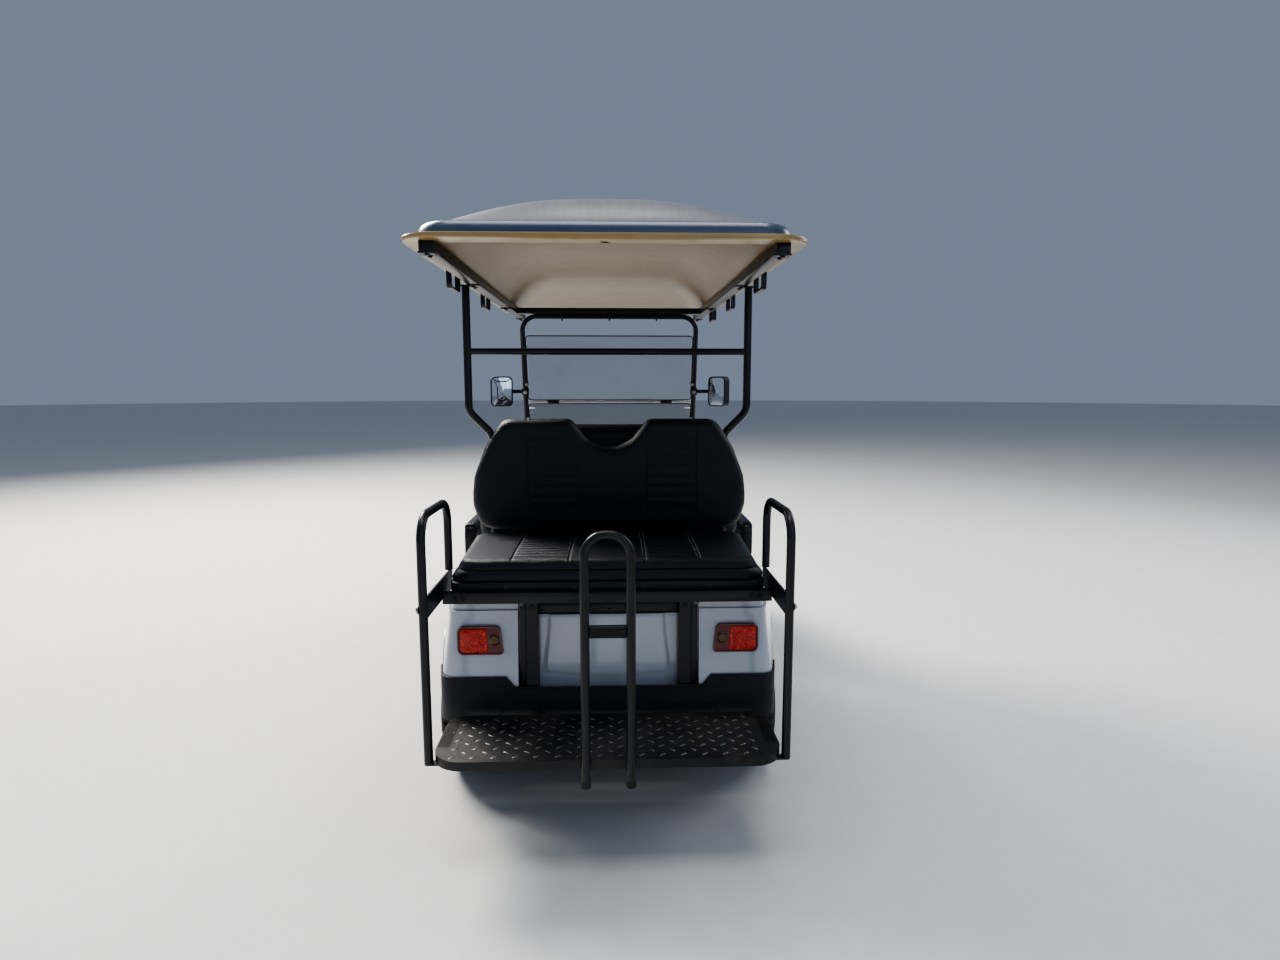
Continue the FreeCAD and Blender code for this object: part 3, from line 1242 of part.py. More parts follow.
def make_rear_seat_frame():
    z = Sizes
    top = z.rear_seat_low - z.board_thick - z.seat_gap
    y = z.rear_seat_rear_y
    bar = box("LowerBar", (-1 * z.bar_half, y - z.bar_width / 2, top - z.bar_height),
              (z.bar_half, y + z.bar_width / 2, top))
    post = box("Post", (z.post_x - z.post_width / 2, z.body_rear_y + 6, z.post_low),
               (z.post_x + z.post_width / 2, z.body_rear_y + 6 + z.post_depth, top - z.bar_height + 8))
    runner = box("Runner", (z.post_x - 15, y, top - 26), (z.post_x + 15, z.rear_seat_front_y + 20, top))
    far = box("FarBar", (-1 * z.post_x - 15, z.rear_seat_front_y, top - 26), (z.post_x + 15, z.rear_seat_front_y + 26, top))
    foot = box("RunnerFoot", (z.post_x - 15, z.rear_seat_front_y - 4, z.body_top + 0.2),
               (z.post_x + 15, z.rear_seat_front_y + 26, top))
    side = box("SideRail", (z.side_rail_x - z.side_rail_thick, z.arm_rear_y, z.side_rail_low),
               (z.side_rail_x - 0.0, z.arm_front_y + 20, z.side_rail_low + z.side_rail_height))
    ear = box("BarEar", (z.bar_half - 30, y - z.bar_width / 2, top - z.bar_height),
              (z.side_rail_x - 1, y + z.bar_width / 2, top))
    carrier = box("PlateCarrier", (z.post_x - z.beam_width / 2, z.plate_rear_y + 60,
                                   z.plate_top - z.plate_rim - z.beam_square),
                  (z.post_x + z.beam_width / 2, z.rail_rear_y + 34, z.plate_top - z.plate_rim - z.seat_gap))
    items = [bar, far]
    for item in (post, runner, foot, side, ear, carrier):
        items += [item, mirror(item.Name + "Other", item)]
    frame = fuse("SeatFrameBars", items)
    room = cylinder("ArmRoom", "z", (z.arm_x, z.arm_rear_y, z.side_rail_low - 5), 80, z.arm_radius + 0.2)
    keep("rear_seat_frame", cut("RearSeatFrame", frame, [room, mirror("ArmRoomOther", room)]))


def plate_half():
    """Half width of the footplate, which lies between the arm loops."""
    return Sizes.arm_x - Sizes.arm_radius - Sizes.seat_gap


def arm_foot_low():
    """Underside of the tabs on the arm loops, which carry the footplate's rim."""
    return Sizes.plate_top - Sizes.plate_rim - Sizes.seat_gap - Sizes.arm_foot_thick


def make_arm_loops():
    z = Sizes
    corners = [
        (z.arm_rear_y, arm_foot_low()), (z.arm_rear_y, z.arm_top, z.arm_bend),
        (z.arm_front_y, z.arm_top - 4, z.arm_bend), (z.arm_front_y, z.side_rail_low + z.side_rail_height + z.seat_gap),
    ]
    loop = tube("ArmLoop", "side", z.arm_x, corners, z.arm_radius, "top")
    foot = box("ArmFoot", (plate_half() - z.arm_foot_reach, z.arm_rear_y - z.arm_radius, arm_foot_low()),
               (z.arm_x, z.arm_rear_y + z.arm_radius, arm_foot_low() + z.arm_foot_thick))
    keep("arm_loops", pair("ArmLoops", fuse("ArmLoopSolid", [loop, foot])))


def make_footplate():
    z = Sizes
    body = new_body("Footplate")
    half = plate_half()
    top = z.plate_top
    outline = both_sides([(half, z.plate_rear_y, z.plate_corner), (half, z.plate_front_y - 40, 60),
                          (half - 36, z.plate_front_y)])
    pad(body, "PlateTop", "top", top - z.plate_thick, top, outline)
    pad(body, "PlateRim", "top", top - z.plate_rim, top - z.plate_thick, outline)
    wall = 4
    inner = both_sides([(half - wall, z.plate_rear_y + wall, z.plate_corner - wall),
                        (half - wall, z.plate_front_y - 40, 60), (half - 36 - wall, z.plate_front_y + 1)])
    pocket(body, "PlateUnder", "top", top - z.plate_rim - 1, top - z.plate_thick, inner)
    keep("footplate", body)


def make_grab_bar():
    z = Sizes
    y = z.plate_rear_y - z.grab_radius - z.seat_gap
    corners = [
        (-1 * z.grab_half, z.grab_low), (-1 * z.grab_half, z.grab_top, z.grab_half - 1),
        (z.grab_half, z.grab_top, z.grab_half - 1), (z.grab_half, z.grab_low),
    ]
    loop = tube("GrabLoop", "back", y, corners, z.grab_radius, "top")
    plate = box("GrabPlate", (-1 * z.grab_half, y - 3, z.grab_bar_low), (z.grab_half, y + 3, z.grab_bar_high))
    keep("grab_bar", fuse("GrabBar", [loop, plate]))


def check_and_write():
    """Stop if anything failed to build, then write each sub-part to its own file."""
    DOC.recompute()
    for item in DOC.Objects:
        if "Invalid" in item.State or "Error" in item.State:
            raise RuntimeError("not built: " + item.Name + " " + str(item.State))
    for item in NODES:
        if item.Shape.isNull() or not item.Shape.isValid() or not item.Shape.Solids:
            raise RuntimeError("bad shape: " + item.Label)
    os.makedirs("parts", exist_ok=True)
    for item in NODES:
        item.Shape.exportStep("parts/" + item.Label + ".step")
        print(item.Label, len(item.Shape.Solids), round(item.Shape.Volume / 1000), "cm3")


fill_sheet()
make_chassis()
make_floor()
make_battery()
make_front_axle()
make_knuckle(-1)
make_knuckle(1)
make_tie_rod()
make_rear_axle()
make_leaf_springs()
make_wheels()
make_rear_body()
make_access_panel()
make_rear_bumper()
make_tail_lamps()
make_front_cowl()
make_front_bumper()
make_head_lamps()
make_dashboard()
make_steering()
make_pedals()
make_rear_roof_frame()
make_front_roof_frame()
make_windshield()
make_roof_rails()
make_roof()
make_handles()
make_mirrors()
make_front_seat()
make_hips()
make_rear_seat()
make_rear_seat_frame()
make_arm_loops()
make_footplate()
make_grab_bar()
check_and_write()
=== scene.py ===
"""Golf cart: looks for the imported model. Metres, row frame: +X right, +Y forward, +Z up."""

import math

import bmesh
import bpy
import numpy as np
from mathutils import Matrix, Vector


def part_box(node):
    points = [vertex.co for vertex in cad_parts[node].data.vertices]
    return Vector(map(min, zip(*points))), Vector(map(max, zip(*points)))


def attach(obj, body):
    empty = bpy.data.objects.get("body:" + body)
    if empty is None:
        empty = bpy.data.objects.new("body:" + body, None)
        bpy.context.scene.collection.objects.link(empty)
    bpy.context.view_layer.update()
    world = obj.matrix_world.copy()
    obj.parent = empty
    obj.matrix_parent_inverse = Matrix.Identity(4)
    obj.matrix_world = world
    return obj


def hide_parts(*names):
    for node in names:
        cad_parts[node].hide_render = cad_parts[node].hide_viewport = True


bl_info = {
    "name": "Golf Cart",
    "version": (1, 0, 0),
    "blender": (4, 5, 0),
    "location": "View3D > Sidebar > Golf Cart",
    "description": "Dresses a four-seat golf cart with paint, vinyl, rubber and lamps",
    "category": "Add Mesh",
}

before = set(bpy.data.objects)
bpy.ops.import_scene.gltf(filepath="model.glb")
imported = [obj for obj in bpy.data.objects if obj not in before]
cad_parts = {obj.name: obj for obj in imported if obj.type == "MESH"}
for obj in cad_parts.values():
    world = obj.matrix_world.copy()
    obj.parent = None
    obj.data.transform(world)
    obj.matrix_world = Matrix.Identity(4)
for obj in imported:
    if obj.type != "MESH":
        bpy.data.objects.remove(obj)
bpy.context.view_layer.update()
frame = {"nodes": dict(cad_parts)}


def low_high(node):
    """The lowest and highest corner of a CAD node as arrays."""
    low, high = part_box(node)
    return np.array(low), np.array(high)


# Grids, paths and profiles

def grid_faces(rows, cols, around_rows=False, around_cols=False):
    """Quads between neighbouring points of a grid; a direction that goes round joins its last line to its first."""
    i, j = np.meshgrid(np.arange(rows if around_rows else rows - 1), np.arange(cols if around_cols else cols - 1),
                       indexing="ij")
    i2 = (i + 1) % rows
    j2 = (j + 1) % cols
    return np.stack([i * cols + j, i * cols + j2, i2 * cols + j2, i2 * cols + j], -1).reshape(-1, 4)


class Piece:
    """Gathers patches of points and faces into one mesh object."""

    def __init__(self, name):
        self.name = name
        self.points = []
        self.faces = []
        self.marks = []
        self.count = 0

    def add(self, points, faces, mark=0):
        points = np.asarray(points, float).reshape(-1, 3)
        for face in np.asarray(faces) + self.count:
            self.faces.append(face.tolist())
        self.marks += [mark] * len(faces)
        self.points.append(points)
        self.count += len(points)

    def grid(self, points, around_rows=False, around_cols=False, mark=0):
        """A surface over a grid of points, rows by columns by three."""
        points = np.asarray(points, float)
        rows, cols = points.shape[:2]
        self.add(points, grid_faces(rows, cols, around_rows, around_cols), mark)

    def cap(self, ring, mark=0):
        """Closes a ring of points with a fan about its middle."""
        ring = np.asarray(ring, float)
        count = len(ring)
        middle = ring.mean(0, keepdims=True)
        order = np.arange(count)
        faces = np.stack([order, (order + 1) % count, np.full(count, count)], -1)
        self.add(np.concatenate([ring, middle]), faces, mark)

    def tube(self, points, mark=0):
        """Rings of points along a path, closed at both ends."""
        self.grid(points, around_cols=True, mark=mark)
        self.cap(points[0], mark)
        self.cap(points[-1], mark)

    def turn(self, profile, centre, axis, count=48, mark=0):
        """A turned form (offset along the axis, radius)."""
        self.grid(turned(profile, centre, axis, count), around_cols=True, mark=mark)

    def bead(self, path, profile, normal, mark=0):
        """A profile run along a closed path."""
        self.grid(along(path, profile, normal, closed=True), around_rows=True, around_cols=True, mark=mark)

    def build(self, finishes, body, slot=None, nodes=(), merge=1e-5, outward=True, sharp=40):
        """Makes the object at the origin, welded and facing outwards, and lets it ride on its body."""
        mesh = bpy.data.meshes.new(self.name)
        mesh.from_pydata(np.concatenate(self.points), [], self.faces)
        mesh.polygons.foreach_set("material_index", np.array(self.marks, np.int32))
        mesh.polygons.foreach_set("use_smooth", np.ones(len(self.faces), bool))
        work = bmesh.new()
        work.from_mesh(mesh)
        if merge:
            bmesh.ops.remove_doubles(work, verts=work.verts, dist=merge)
        if outward:
            bmesh.ops.recalc_face_normals(work, faces=work.faces)
        limit = math.radians(sharp)
        for edge in work.edges:
            if len(edge.link_faces) == 2 and edge.calc_face_angle(0) > limit:
                edge.smooth = False
        work.to_mesh(mesh)
        work.free()
        for finish in [finishes] if isinstance(finishes, str) else finishes:
            mesh.materials.append(FINISH[finish])
        item = bpy.data.objects.new(self.name, mesh)
        bpy.context.scene.collection.objects.link(item)
        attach(item, body)
        if nodes:
            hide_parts(*nodes)
        return item


def rounded_path(corners, steps=8):
    """Points along straight runs whose corners (x, y, z, radius) become arcs that touch both runs."""
    corners = [tuple(row) + (0,) * (4 - len(row)) for row in corners]
    spots = np.array([row[:3] for row in corners], float)
    out = [spots[:1]]
    for i in range(1, len(corners) - 1):
        before, here, after, radius = spots[i - 1], spots[i], spots[i + 1], corners[i][3]
        if radius <= 0:
            out.append(here[None])
            continue
        a = (before - here) / np.linalg.norm(before - here)
        b = (after - here) / np.linalg.norm(after - here)
        half = math.acos(np.clip(a @ b, -1, 1)) / 2
        reach = radius / math.tan(half)
        centre = here + (a + b) / np.linalg.norm(a + b) * radius / math.sin(half)
        start = here + a * reach - centre
        end = here + b * reach - centre
        turn = math.pi - 2 * half
        t = np.linspace(0, 1, steps + 1)[:, None]
        out.append(centre + (np.sin((1 - t) * turn) * start + np.sin(t * turn) * end) / math.sin(turn))
    out.append(spots[-1:])
    return np.concatenate(out)


def along(path, profile, normal, closed=False):
    """A profile carried along a path in a plane: profile x lies across the path, y along the plane's normal."""
    path = np.asarray(path, float)
    if closed:
        ahead = np.roll(path, -1, 0) - path
        back = path - np.roll(path, 1, 0)
    else:
        ahead = np.diff(path, axis=0, append=path[-1:] * 2 - path[-2:-1])
        back = np.diff(path, axis=0, prepend=path[:1] * 2 - path[1:2])
    ahead = ahead / np.linalg.norm(ahead, axis=1, keepdims=True)
    back = back / np.linalg.norm(back, axis=1, keepdims=True)
    tangent = ahead + back
    tangent /= np.linalg.norm(tangent, axis=1, keepdims=True)
    normal = np.asarray(normal, float) / np.linalg.norm(normal)
    side = np.cross(tangent, normal)
    side /= np.linalg.norm(side, axis=1, keepdims=True)
    profile = np.asarray(profile, float)
    stretch = 1 / np.clip(np.sqrt((1 + (ahead * back).sum(1)) / 2), 0.5, 1)
    return (path[:, None] + profile[None, :, :1] * (side * stretch[:, None])[:, None] + profile[None, :, 1:2] * normal)


def ring(radius, count=16):
    """A circle: radius times cosine and sine."""
    angle = np.arange(count) / count * 2 * math.pi
    return np.stack([np.cos(angle), np.sin(angle)], -1) * radius


def rounded_box(width, height, radius, steps=3):
    """A rectangle about the origin whose corners are quarter circles."""
    x, y = width / 2 - radius, height / 2 - radius
    angle = np.linspace(0, math.pi / 2, steps + 1)
    rows = []
    for turn, (sx, sy) in enumerate(((1, 1), (-1, 1), (-1, -1), (1, -1))):
        corner = angle + turn * math.pi / 2
        rows.append(np.stack([sx * x + radius * np.cos(corner), sy * y + radius * np.sin(corner)], -1))
    return np.concatenate(rows)


def rounded_polygon(corners, steps=6):
    """A closed outline (x, y, radius) with its corners rounded, as points in a plane."""
    rows = [(x, y, 0, r) for x, y, r in corners]
    first = np.array([(rows[-1][0] + rows[0][0]) / 2, (rows[-1][1] + rows[0][1]) / 2, 0])
    path = rounded_path([tuple(first)] + rows + [tuple(first)], steps)
    return path[1:, :2] if np.allclose(path[0], path[-1]) else path[:, :2]


def read_off(want, place, rows):
    """The row at each wanted place, on straight lines between the rows at the known places."""
    return np.stack([np.interp(want, place, column) for column in rows.T], -1)


def resample(outline, count):
    """A closed outline walked at even steps."""
    loop = np.concatenate([outline, outline[:1]])
    step = np.linalg.norm(np.diff(loop, axis=0), axis=1)
    place = np.concatenate([[0], np.cumsum(step)])
    want = np.arange(count) / count * place[-1]
    return read_off(want, place, loop)


def resample_line(line, count):
    """An open line walked at even steps."""
    place = np.concatenate([[0], np.cumsum(np.linalg.norm(np.diff(line, axis=0), axis=1))])
    want = np.linspace(0, place[-1], count)
    return read_off(want, place, line)


def turned(profile, centre, axis, count=48):
    """A profile (along the axis, radius) turned about an axis through centre: rows follow the profile."""
    profile = np.asarray(profile, float)
    axis = np.asarray(axis, float) / np.linalg.norm(axis)
    first = np.cross(axis, (0, 0, 1) if abs(axis[2]) < 0.9 else (1, 0, 0))
    first /= np.linalg.norm(first)
    second = np.cross(axis, first)
    angle = np.arange(count) / count * 2 * math.pi
    spoke = np.cos(angle)[:, None] * first + np.sin(angle)[:, None] * second
    return np.asarray(centre) + profile[:, None, :1] * axis + profile[:, None, 1:2] * spoke[None]


def xyz(x, y, z):
    """Points from their coordinates, each of them a number or an array."""
    return np.stack(np.broadcast_arrays(x, y, z), -1)


def standing(flat, y):
    """Flat points (x, z) in the upright plane at y."""
    return xyz(flat[:, 0], y, flat[:, 1])


def lying(flat, z):
    """Flat points (x, y) at the height z."""
    return xyz(flat[:, 0], flat[:, 1], z)


def smooth(t):
    """Three t squared minus two t cubed, held between 0 and 1."""
    t = np.clip(t, 0, 1)
    return t * t * (3 - 2 * t)


def bump(distance, width):
    """A rounded ridge: one at no distance, falling to nought at the width as a squared cosine."""
    return np.cos(np.clip(np.abs(distance) / width, 0, 1) * math.pi / 2) ** 2


# Shader groups and finishes

def put(tree, item, name, value):
    """Sets an input, or links it where the value is another node's output."""
    if isinstance(value, bpy.types.NodeSocket):
        tree.links.new(value, item.inputs[name])
    else:
        item.inputs[name].default_value = value


def put_all(tree, item, values):
    """Sets or links several inputs."""
    for name, value in values.items():
        put(tree, item, name, value)


def node(tree, kind, inputs=None, **settings):
    """Adds a shader node with its settings and inputs."""
    item = tree.nodes.new("ShaderNode" + kind)
    for name, value in settings.items():
        setattr(item, name, value)
    put_all(tree, item, inputs or {})
    return item


def math_node(tree, operation, a, b=0.0, clamp=False):
    return node(tree, "Math", {0: a, 1: b}, operation=operation, use_clamp=clamp).outputs[0]


def noise(tree, vector, scale, detail, rough=0.5):
    """Height of a noise texture."""
    return node(tree, "TexNoise", {"Vector": vector, "Scale": scale, "Detail": detail, "Roughness": rough}).outputs[0]


def ramp(tree, value, low, high):
    """Straight-line change from nought at low to one at high."""
    return node(tree, "MapRange", {"Value": value, "From Min": low, "From Max": high}).outputs[0]


def mix_colour(tree, share, a, b):
    """Blends two colours; sockets 6 and 7 of the Mix node are its colours A and B."""
    item = node(tree, "Mix", {0: share, 6: a, 7: b}, data_type="RGBA")
    return item.outputs[2]


def new_group(name, inputs, outputs):
    """An empty shader group with named number, vector and colour sockets."""
    tree = bpy.data.node_groups.new(name, "ShaderNodeTree")
    kinds = {"value": "NodeSocketFloat", "vector": "NodeSocketVector", "colour": "NodeSocketColor"}
    for label, kind, start in inputs:
        socket = tree.interface.new_socket(label, in_out="INPUT", socket_type=kinds[kind])
        if start is not None:
            socket.default_value = start
    for label, kind in outputs:
        tree.interface.new_socket(label, in_out="OUTPUT", socket_type=kinds[kind])
    return tree, tree.nodes.new("NodeGroupInput").outputs, tree.nodes.new("NodeGroupOutput")


def grain_group():
    """Surface grain: pebbled cells blended with fine noise, as a height and a shade mask."""
    tree, given, out = new_group(
        "Surface Grain",
        [("Vector", "vector", None), ("Scale", "value", 400.0), ("Pebble", "value", 0.5)],
        [("Height", "value"), ("Mask", "value")])
    cells = node(tree, "TexVoronoi", {"Vector": given["Vector"], "Scale": given["Scale"]},
                 feature="DISTANCE_TO_EDGE")
    pebble = ramp(tree, cells.outputs["Distance"], 0.0, 0.22)
    fine = noise(tree, given["Vector"], given["Scale"], 4.0, 0.6)
    height = node(tree, "Mix", {0: given["Pebble"], 2: fine, 3: pebble}).outputs[0]
    put(tree, out, "Height", height)
    put(tree, out, "Mask", ramp(tree, height, 0.3, 0.8))
    return tree


def dust_group():
    """Dust: cloudy patches that lie thickest on faces that look up."""
    tree, given, out = new_group("Settled Dust", [("Vector", "vector", None), ("Scale", "value", 5.0),
                                                  ("Amount", "value", 0.3)], [("Mask", "value")])
    cloud = noise(tree, given["Vector"], given["Scale"], 7.0, 0.65)
    speck = noise(tree, given["Vector"], 900.0, 2.0)
    up = node(tree, "SeparateXYZ", {0: node(tree, "NewGeometry").outputs["Normal"]}).outputs[2]
    lie = ramp(tree, up, -0.6, 0.9)
    patch = ramp(tree, cloud, 0.38, 0.68)
    both = math_node(tree, "MULTIPLY", patch, math_node(tree, "ADD", ramp(tree, speck, 0.35, 0.7), 0.35))
    settled = math_node(tree, "MULTIPLY", both, lie)
    put(tree, out, "Mask", math_node(tree, "MULTIPLY", settled, given["Amount"], clamp=True))
    return tree


def scuff_group():
    """Scuffs: thin scratches in two directions, which roughen a polished face."""
    tree, given, out = new_group("Fine Scuffs", [("Vector", "vector", None), ("Scale", "value", 30.0)],
                                 [("Mask", "value")])
    masks = []
    for stretch, turn in (((1.0, 14.0, 3.0), 0.5), ((11.0, 1.0, 4.0), -0.35)):
        placed = node(tree, "Mapping", {"Vector": given["Vector"], "Rotation": (0.2, turn, turn), "Scale": stretch})
        line = noise(tree, placed.outputs[0], given["Scale"], 5.0)
        masks.append(ramp(tree, line, 0.62, 0.72))
    put(tree, out, "Mask", math_node(tree, "MAXIMUM", masks[0], masks[1]))
    return tree


def streak_group():
    """Streaks: stains drawn out along one direction of the shell, as rain leaves them."""
    tree, given, out = new_group("Rain Streaks", [("Vector", "vector", None), ("Scale", "value", 90.0)],
                                 [("Mask", "value")])
    placed = node(tree, "Mapping", {"Vector": given["Vector"], "Scale": (1.0, 0.05, 0.16)})
    line = noise(tree, placed.outputs[0], given["Scale"], 6.0, 0.7)
    cloud = noise(tree, given["Vector"], 3.0, 3.0)
    put(tree, out, "Mask", math_node(tree, "MULTIPLY", ramp(tree, line, 0.36, 0.66), ramp(tree, cloud, 0.2, 0.7)))
    return tree


GROUPS = {}
FINISH = {}


def use_group(tree, label, inputs):
    item = node(tree, "Group")
    item.node_tree = GROUPS[label]
    put_all(tree, item, inputs)
    return item.outputs


def new_material(name):
    """An empty material with its node tree, its Principled shader and its Object coordinates."""
    material = bpy.data.materials.new(name)
    material.use_nodes = True
    tree = material.node_tree
    FINISH[name] = material
    return tree, tree.nodes["Principled BSDF"], node(tree, "TexCoord").outputs["Object"]


FINISH_ROWS = (
    # name, colour, roughness, metallic, coat, grain scale, grain depth in metres, pebble share, colour change, dust
    ("FramePaint", (0.006, 0.0068, 0.01), 0.34, 0.0, 0.1, 700, 0.00005, 0.0, 0.25, 0.04),
    ("ChassisPaint", (0.016, 0.016, 0.017), 0.55, 0.0, 0.0, 500, 0.0001, 0.0, 0.35, 0.35),
    ("AxleIron", (0.06, 0.058, 0.056), 0.62, 0.5, 0.0, 350, 0.00025, 0.3, 0.45, 0.4),
    ("SpringSteel", (0.03, 0.029, 0.029), 0.58, 0.4, 0.0, 400, 0.00012, 0.0, 0.4, 0.35),
    # The body is white: its colour is painted down to a blue-grey, painted shade and sky light over the whole body
    ("BodyGloss", (0.4, 0.425, 0.475), 0.14, 0.0, 0.7, 60, 0.00004, 0.0, 0.03, 0.1),
    ("BlackPlastic", (0.007, 0.0085, 0.0135), 0.48, 0.0, 0.0, 900, 0.00016, 0.7, 0.2, 0.07),
    ("FloorRubber", (0.018, 0.018, 0.018), 0.72, 0.0, 0.0, 600, 0.00012, 0.4, 0.3, 0.45),
    ("TyreRubber", (0.016, 0.016, 0.016), 0.75, 0.0, 0.0, 500, 0.00014, 0.2, 0.35, 0.4),
    ("RimPaint", (0.64, 0.64, 0.62), 0.32, 0.3, 0.2, 500, 0.00004, 0.0, 0.08, 0.2),
    ("SeatVinyl", (0.0032, 0.0052, 0.0112), 0.38, 0.0, 0.0, 620, 0.00022, 0.85, 0.2, 0.015),
    ("Thread", (0.26, 0.26, 0.265), 0.8, 0.0, 0.0, 1500, 0.0001, 0.0, 0.2, 0.05),
    ("ThreadBlack", (0.022, 0.023, 0.026), 0.8, 0.0, 0.0, 1500, 0.0001, 0.0, 0.2, 0.02),
    ("RoofTan", (0.3, 0.205, 0.085), 0.3, 0.0, 0.05, 9, 0.0022, 0.0, 0.1, 0.04),
    # The ceiling is the roof's tan painted darker: painted shade under the roof
    ("RoofCeiling", (0.175, 0.108, 0.04), 0.34, 0.0, 0.0, 9, 0.0022, 0.0, 0.1, 0.04),
    # The band is the roof's tan painted dark blue-grey: a painted sky reflection and painted shade
    ("RoofBandPaintedSky", (0.04, 0.066, 0.118), 0.28, 0.0, 0.15, 14, 0.0006, 0.0, 0.08, 0.05),
    ("TreadPlate", (0.01, 0.01, 0.011), 0.42, 0.1, 0.0, 600, 0.00012, 0.3, 0.3, 0.14),
    ("BatteryCase", (0.02, 0.021, 0.024), 0.5, 0.0, 0.0, 600, 0.0001, 0.4, 0.15, 0.25),
    ("BoltSteel", (0.4, 0.39, 0.37), 0.36, 1.0, 0.0, 600, 0.00006, 0.0, 0.25, 0.1),
    ("GripRubber", (0.012, 0.012, 0.013), 0.6, 0.0, 0.0, 1200, 0.00016, 0.8, 0.15, 0.08),
    ("LampChrome", (0.78, 0.78, 0.78), 0.12, 1.0, 0.0, 200, 0.00004, 0.0, 0.05, 0.0),
    ("LampBezel", (0.16, 0.035, 0.035), 0.3, 0.0, 0.2, 400, 0.00004, 0.0, 0.1, 0.05),
    ("LampBulb", (0.82, 0.8, 0.74), 0.1, 0.0, 0.3, 200, 0.00002, 0.0, 0.05, 0.0),
    ("DashPlastic", (0.013, 0.014, 0.016), 0.44, 0.0, 0.0, 1100, 0.0001, 0.8, 0.15, 0.06),
    ("DialFace", (0.62, 0.62, 0.6), 0.35, 0.0, 0.3, 400, 0.00002, 0.0, 0.03, 0.0),
    ("Needle", (0.6, 0.03, 0.015), 0.3, 0.0, 0.2, 400, 0.00002, 0.0, 0.03, 0.0),
    ("ForgedBolt", (0.07, 0.067, 0.062), 0.42, 0.7, 0.0, 600, 0.00008, 0.0, 0.4, 0.2),
    ("BatteryCap", (0.42, 0.3, 0.03), 0.42, 0.0, 0.0, 500, 0.00006, 0.2, 0.12, 0.15),
    ("LeadPost", (0.2, 0.2, 0.205), 0.48, 0.9, 0.0, 500, 0.00012, 0.2, 0.3, 0.1),
    ("LampRing", (0.06, 0.018, 0.012), 0.2, 0.0, 0.3, 300, 0.00004, 0.0, 0.1, 0.0),
    # Lozenge tops: lighter than the plate, partly wear and partly a painted highlight
    ("WornSteel", (0.11, 0.108, 0.105), 0.36, 0.6, 0.0, 500, 0.0001, 0.2, 0.35, 0.15),
    ("ScreenEdge", (0.56, 0.59, 0.6), 0.22, 0.0, 0.2, 300, 0.00004, 0.0, 0.06, 0.05),
    ("MirrorGlass", (0.88, 0.89, 0.9), 0.02, 1.0, 0.0, 6, 0.00001, 0.0, 0.02, 0.0),
)
DUST_COLOUR = (0.36, 0.32, 0.26, 1.0)
# Finishes darker than the limit get less shine, so that they stay black
DARK_LIMIT, DARK_SHINE = 0.05, 0.28


def make_finish(name, colour, rough, metallic, coat, scale, depth, pebble, change, dust):
    """A finish on Object coordinates: colour drifts with a cloud, dust lies on top, grain raises the normal."""
    tree, shader, spot = new_material(name)
    cloud = noise(tree, spot, 11.0, 5.0)
    dark = tuple(c * (1 - change) for c in colour) + (1.0,)
    light = tuple(min(c * (1 + change), 1.0) for c in colour) + (1.0,)
    tint = mix_colour(tree, ramp(tree, cloud, 0.3, 0.7), dark, light)
    grain = use_group(tree, "grain", {"Vector": spot, "Scale": float(scale), "Pebble": pebble})
    scuff = use_group(tree, "scuff", {"Vector": spot})["Mask"]
    wear = math_node(tree, "MULTIPLY", scuff, 0.12)
    if dust:
        lying = use_group(tree, "dust", {"Vector": spot, "Amount": dust})["Mask"]
        tint = mix_colour(tree, lying, tint, DUST_COLOUR)
        wear = math_node(tree, "ADD", wear, math_node(tree, "MULTIPLY", lying, 0.5))
    lift = node(tree, "Bump", {"Height": grain["Height"], "Distance": depth, "Strength": 1.0})
    put_all(tree, shader, {
        "Base Color": tint, "Roughness": math_node(tree, "ADD", wear, rough, clamp=True), "Metallic": metallic,
        "Coat Weight": coat, "Coat Roughness": 0.08, "Normal": lift.outputs[0],
        "Specular IOR Level": DARK_SHINE if max(colour) < DARK_LIMIT else 0.5})
    return FINISH[name]


def make_roof_top():
    """The roof's upper face: grey, a painted shade and sky reflection over the tan shell, with fine rain streaks that
    run down its slopes.
    """
    material = make_finish("RoofTopPaintedSky", (0.12, 0.126, 0.14), 0.42, 0.0, 0.1, 900, 0.00012, 0.2, 0.06, 0.0)
    tree = material.node_tree
    shader = tree.nodes["Principled BSDF"]
    spot = node(tree, "TexCoord").outputs["Object"]
    mask = use_group(tree, "streak", {"Vector": spot})["Mask"]
    before = shader.inputs["Base Color"].links[0].from_socket
    put(tree, shader, "Base Color", mix_colour(tree, mask, before, (0.062, 0.067, 0.078, 1.0)))


CLEAR_ROWS = (
    # name, colour, second colour of its cells, roughness, index, how much light passes, glow, cells in a metre
    ("ScreenClear", (0.88, 0.85, 0.84), (0.82, 0.79, 0.78), 0.015, 1.12, 1.0, 0.0, 0),
    ("LampClear", (0.95, 0.96, 0.97), (0.9, 0.92, 0.94), 0.03, 1.45, 1.0, 0.0, 110),
    ("LampRed", (0.34, 0.005, 0.005), (0.95, 0.07, 0.015), 0.08, 1.45, 0.1, 0.12, 330),
    ("LampRedDeep", (0.13, 0.002, 0.004), (0.09, 0.002, 0.003), 0.16, 1.45, 0.05, 0.0, 0),
    ("LampAmber", (0.12, 0.055, 0.012), (0.22, 0.12, 0.03), 0.12, 1.45, 0.1, 0.0, 300),
)


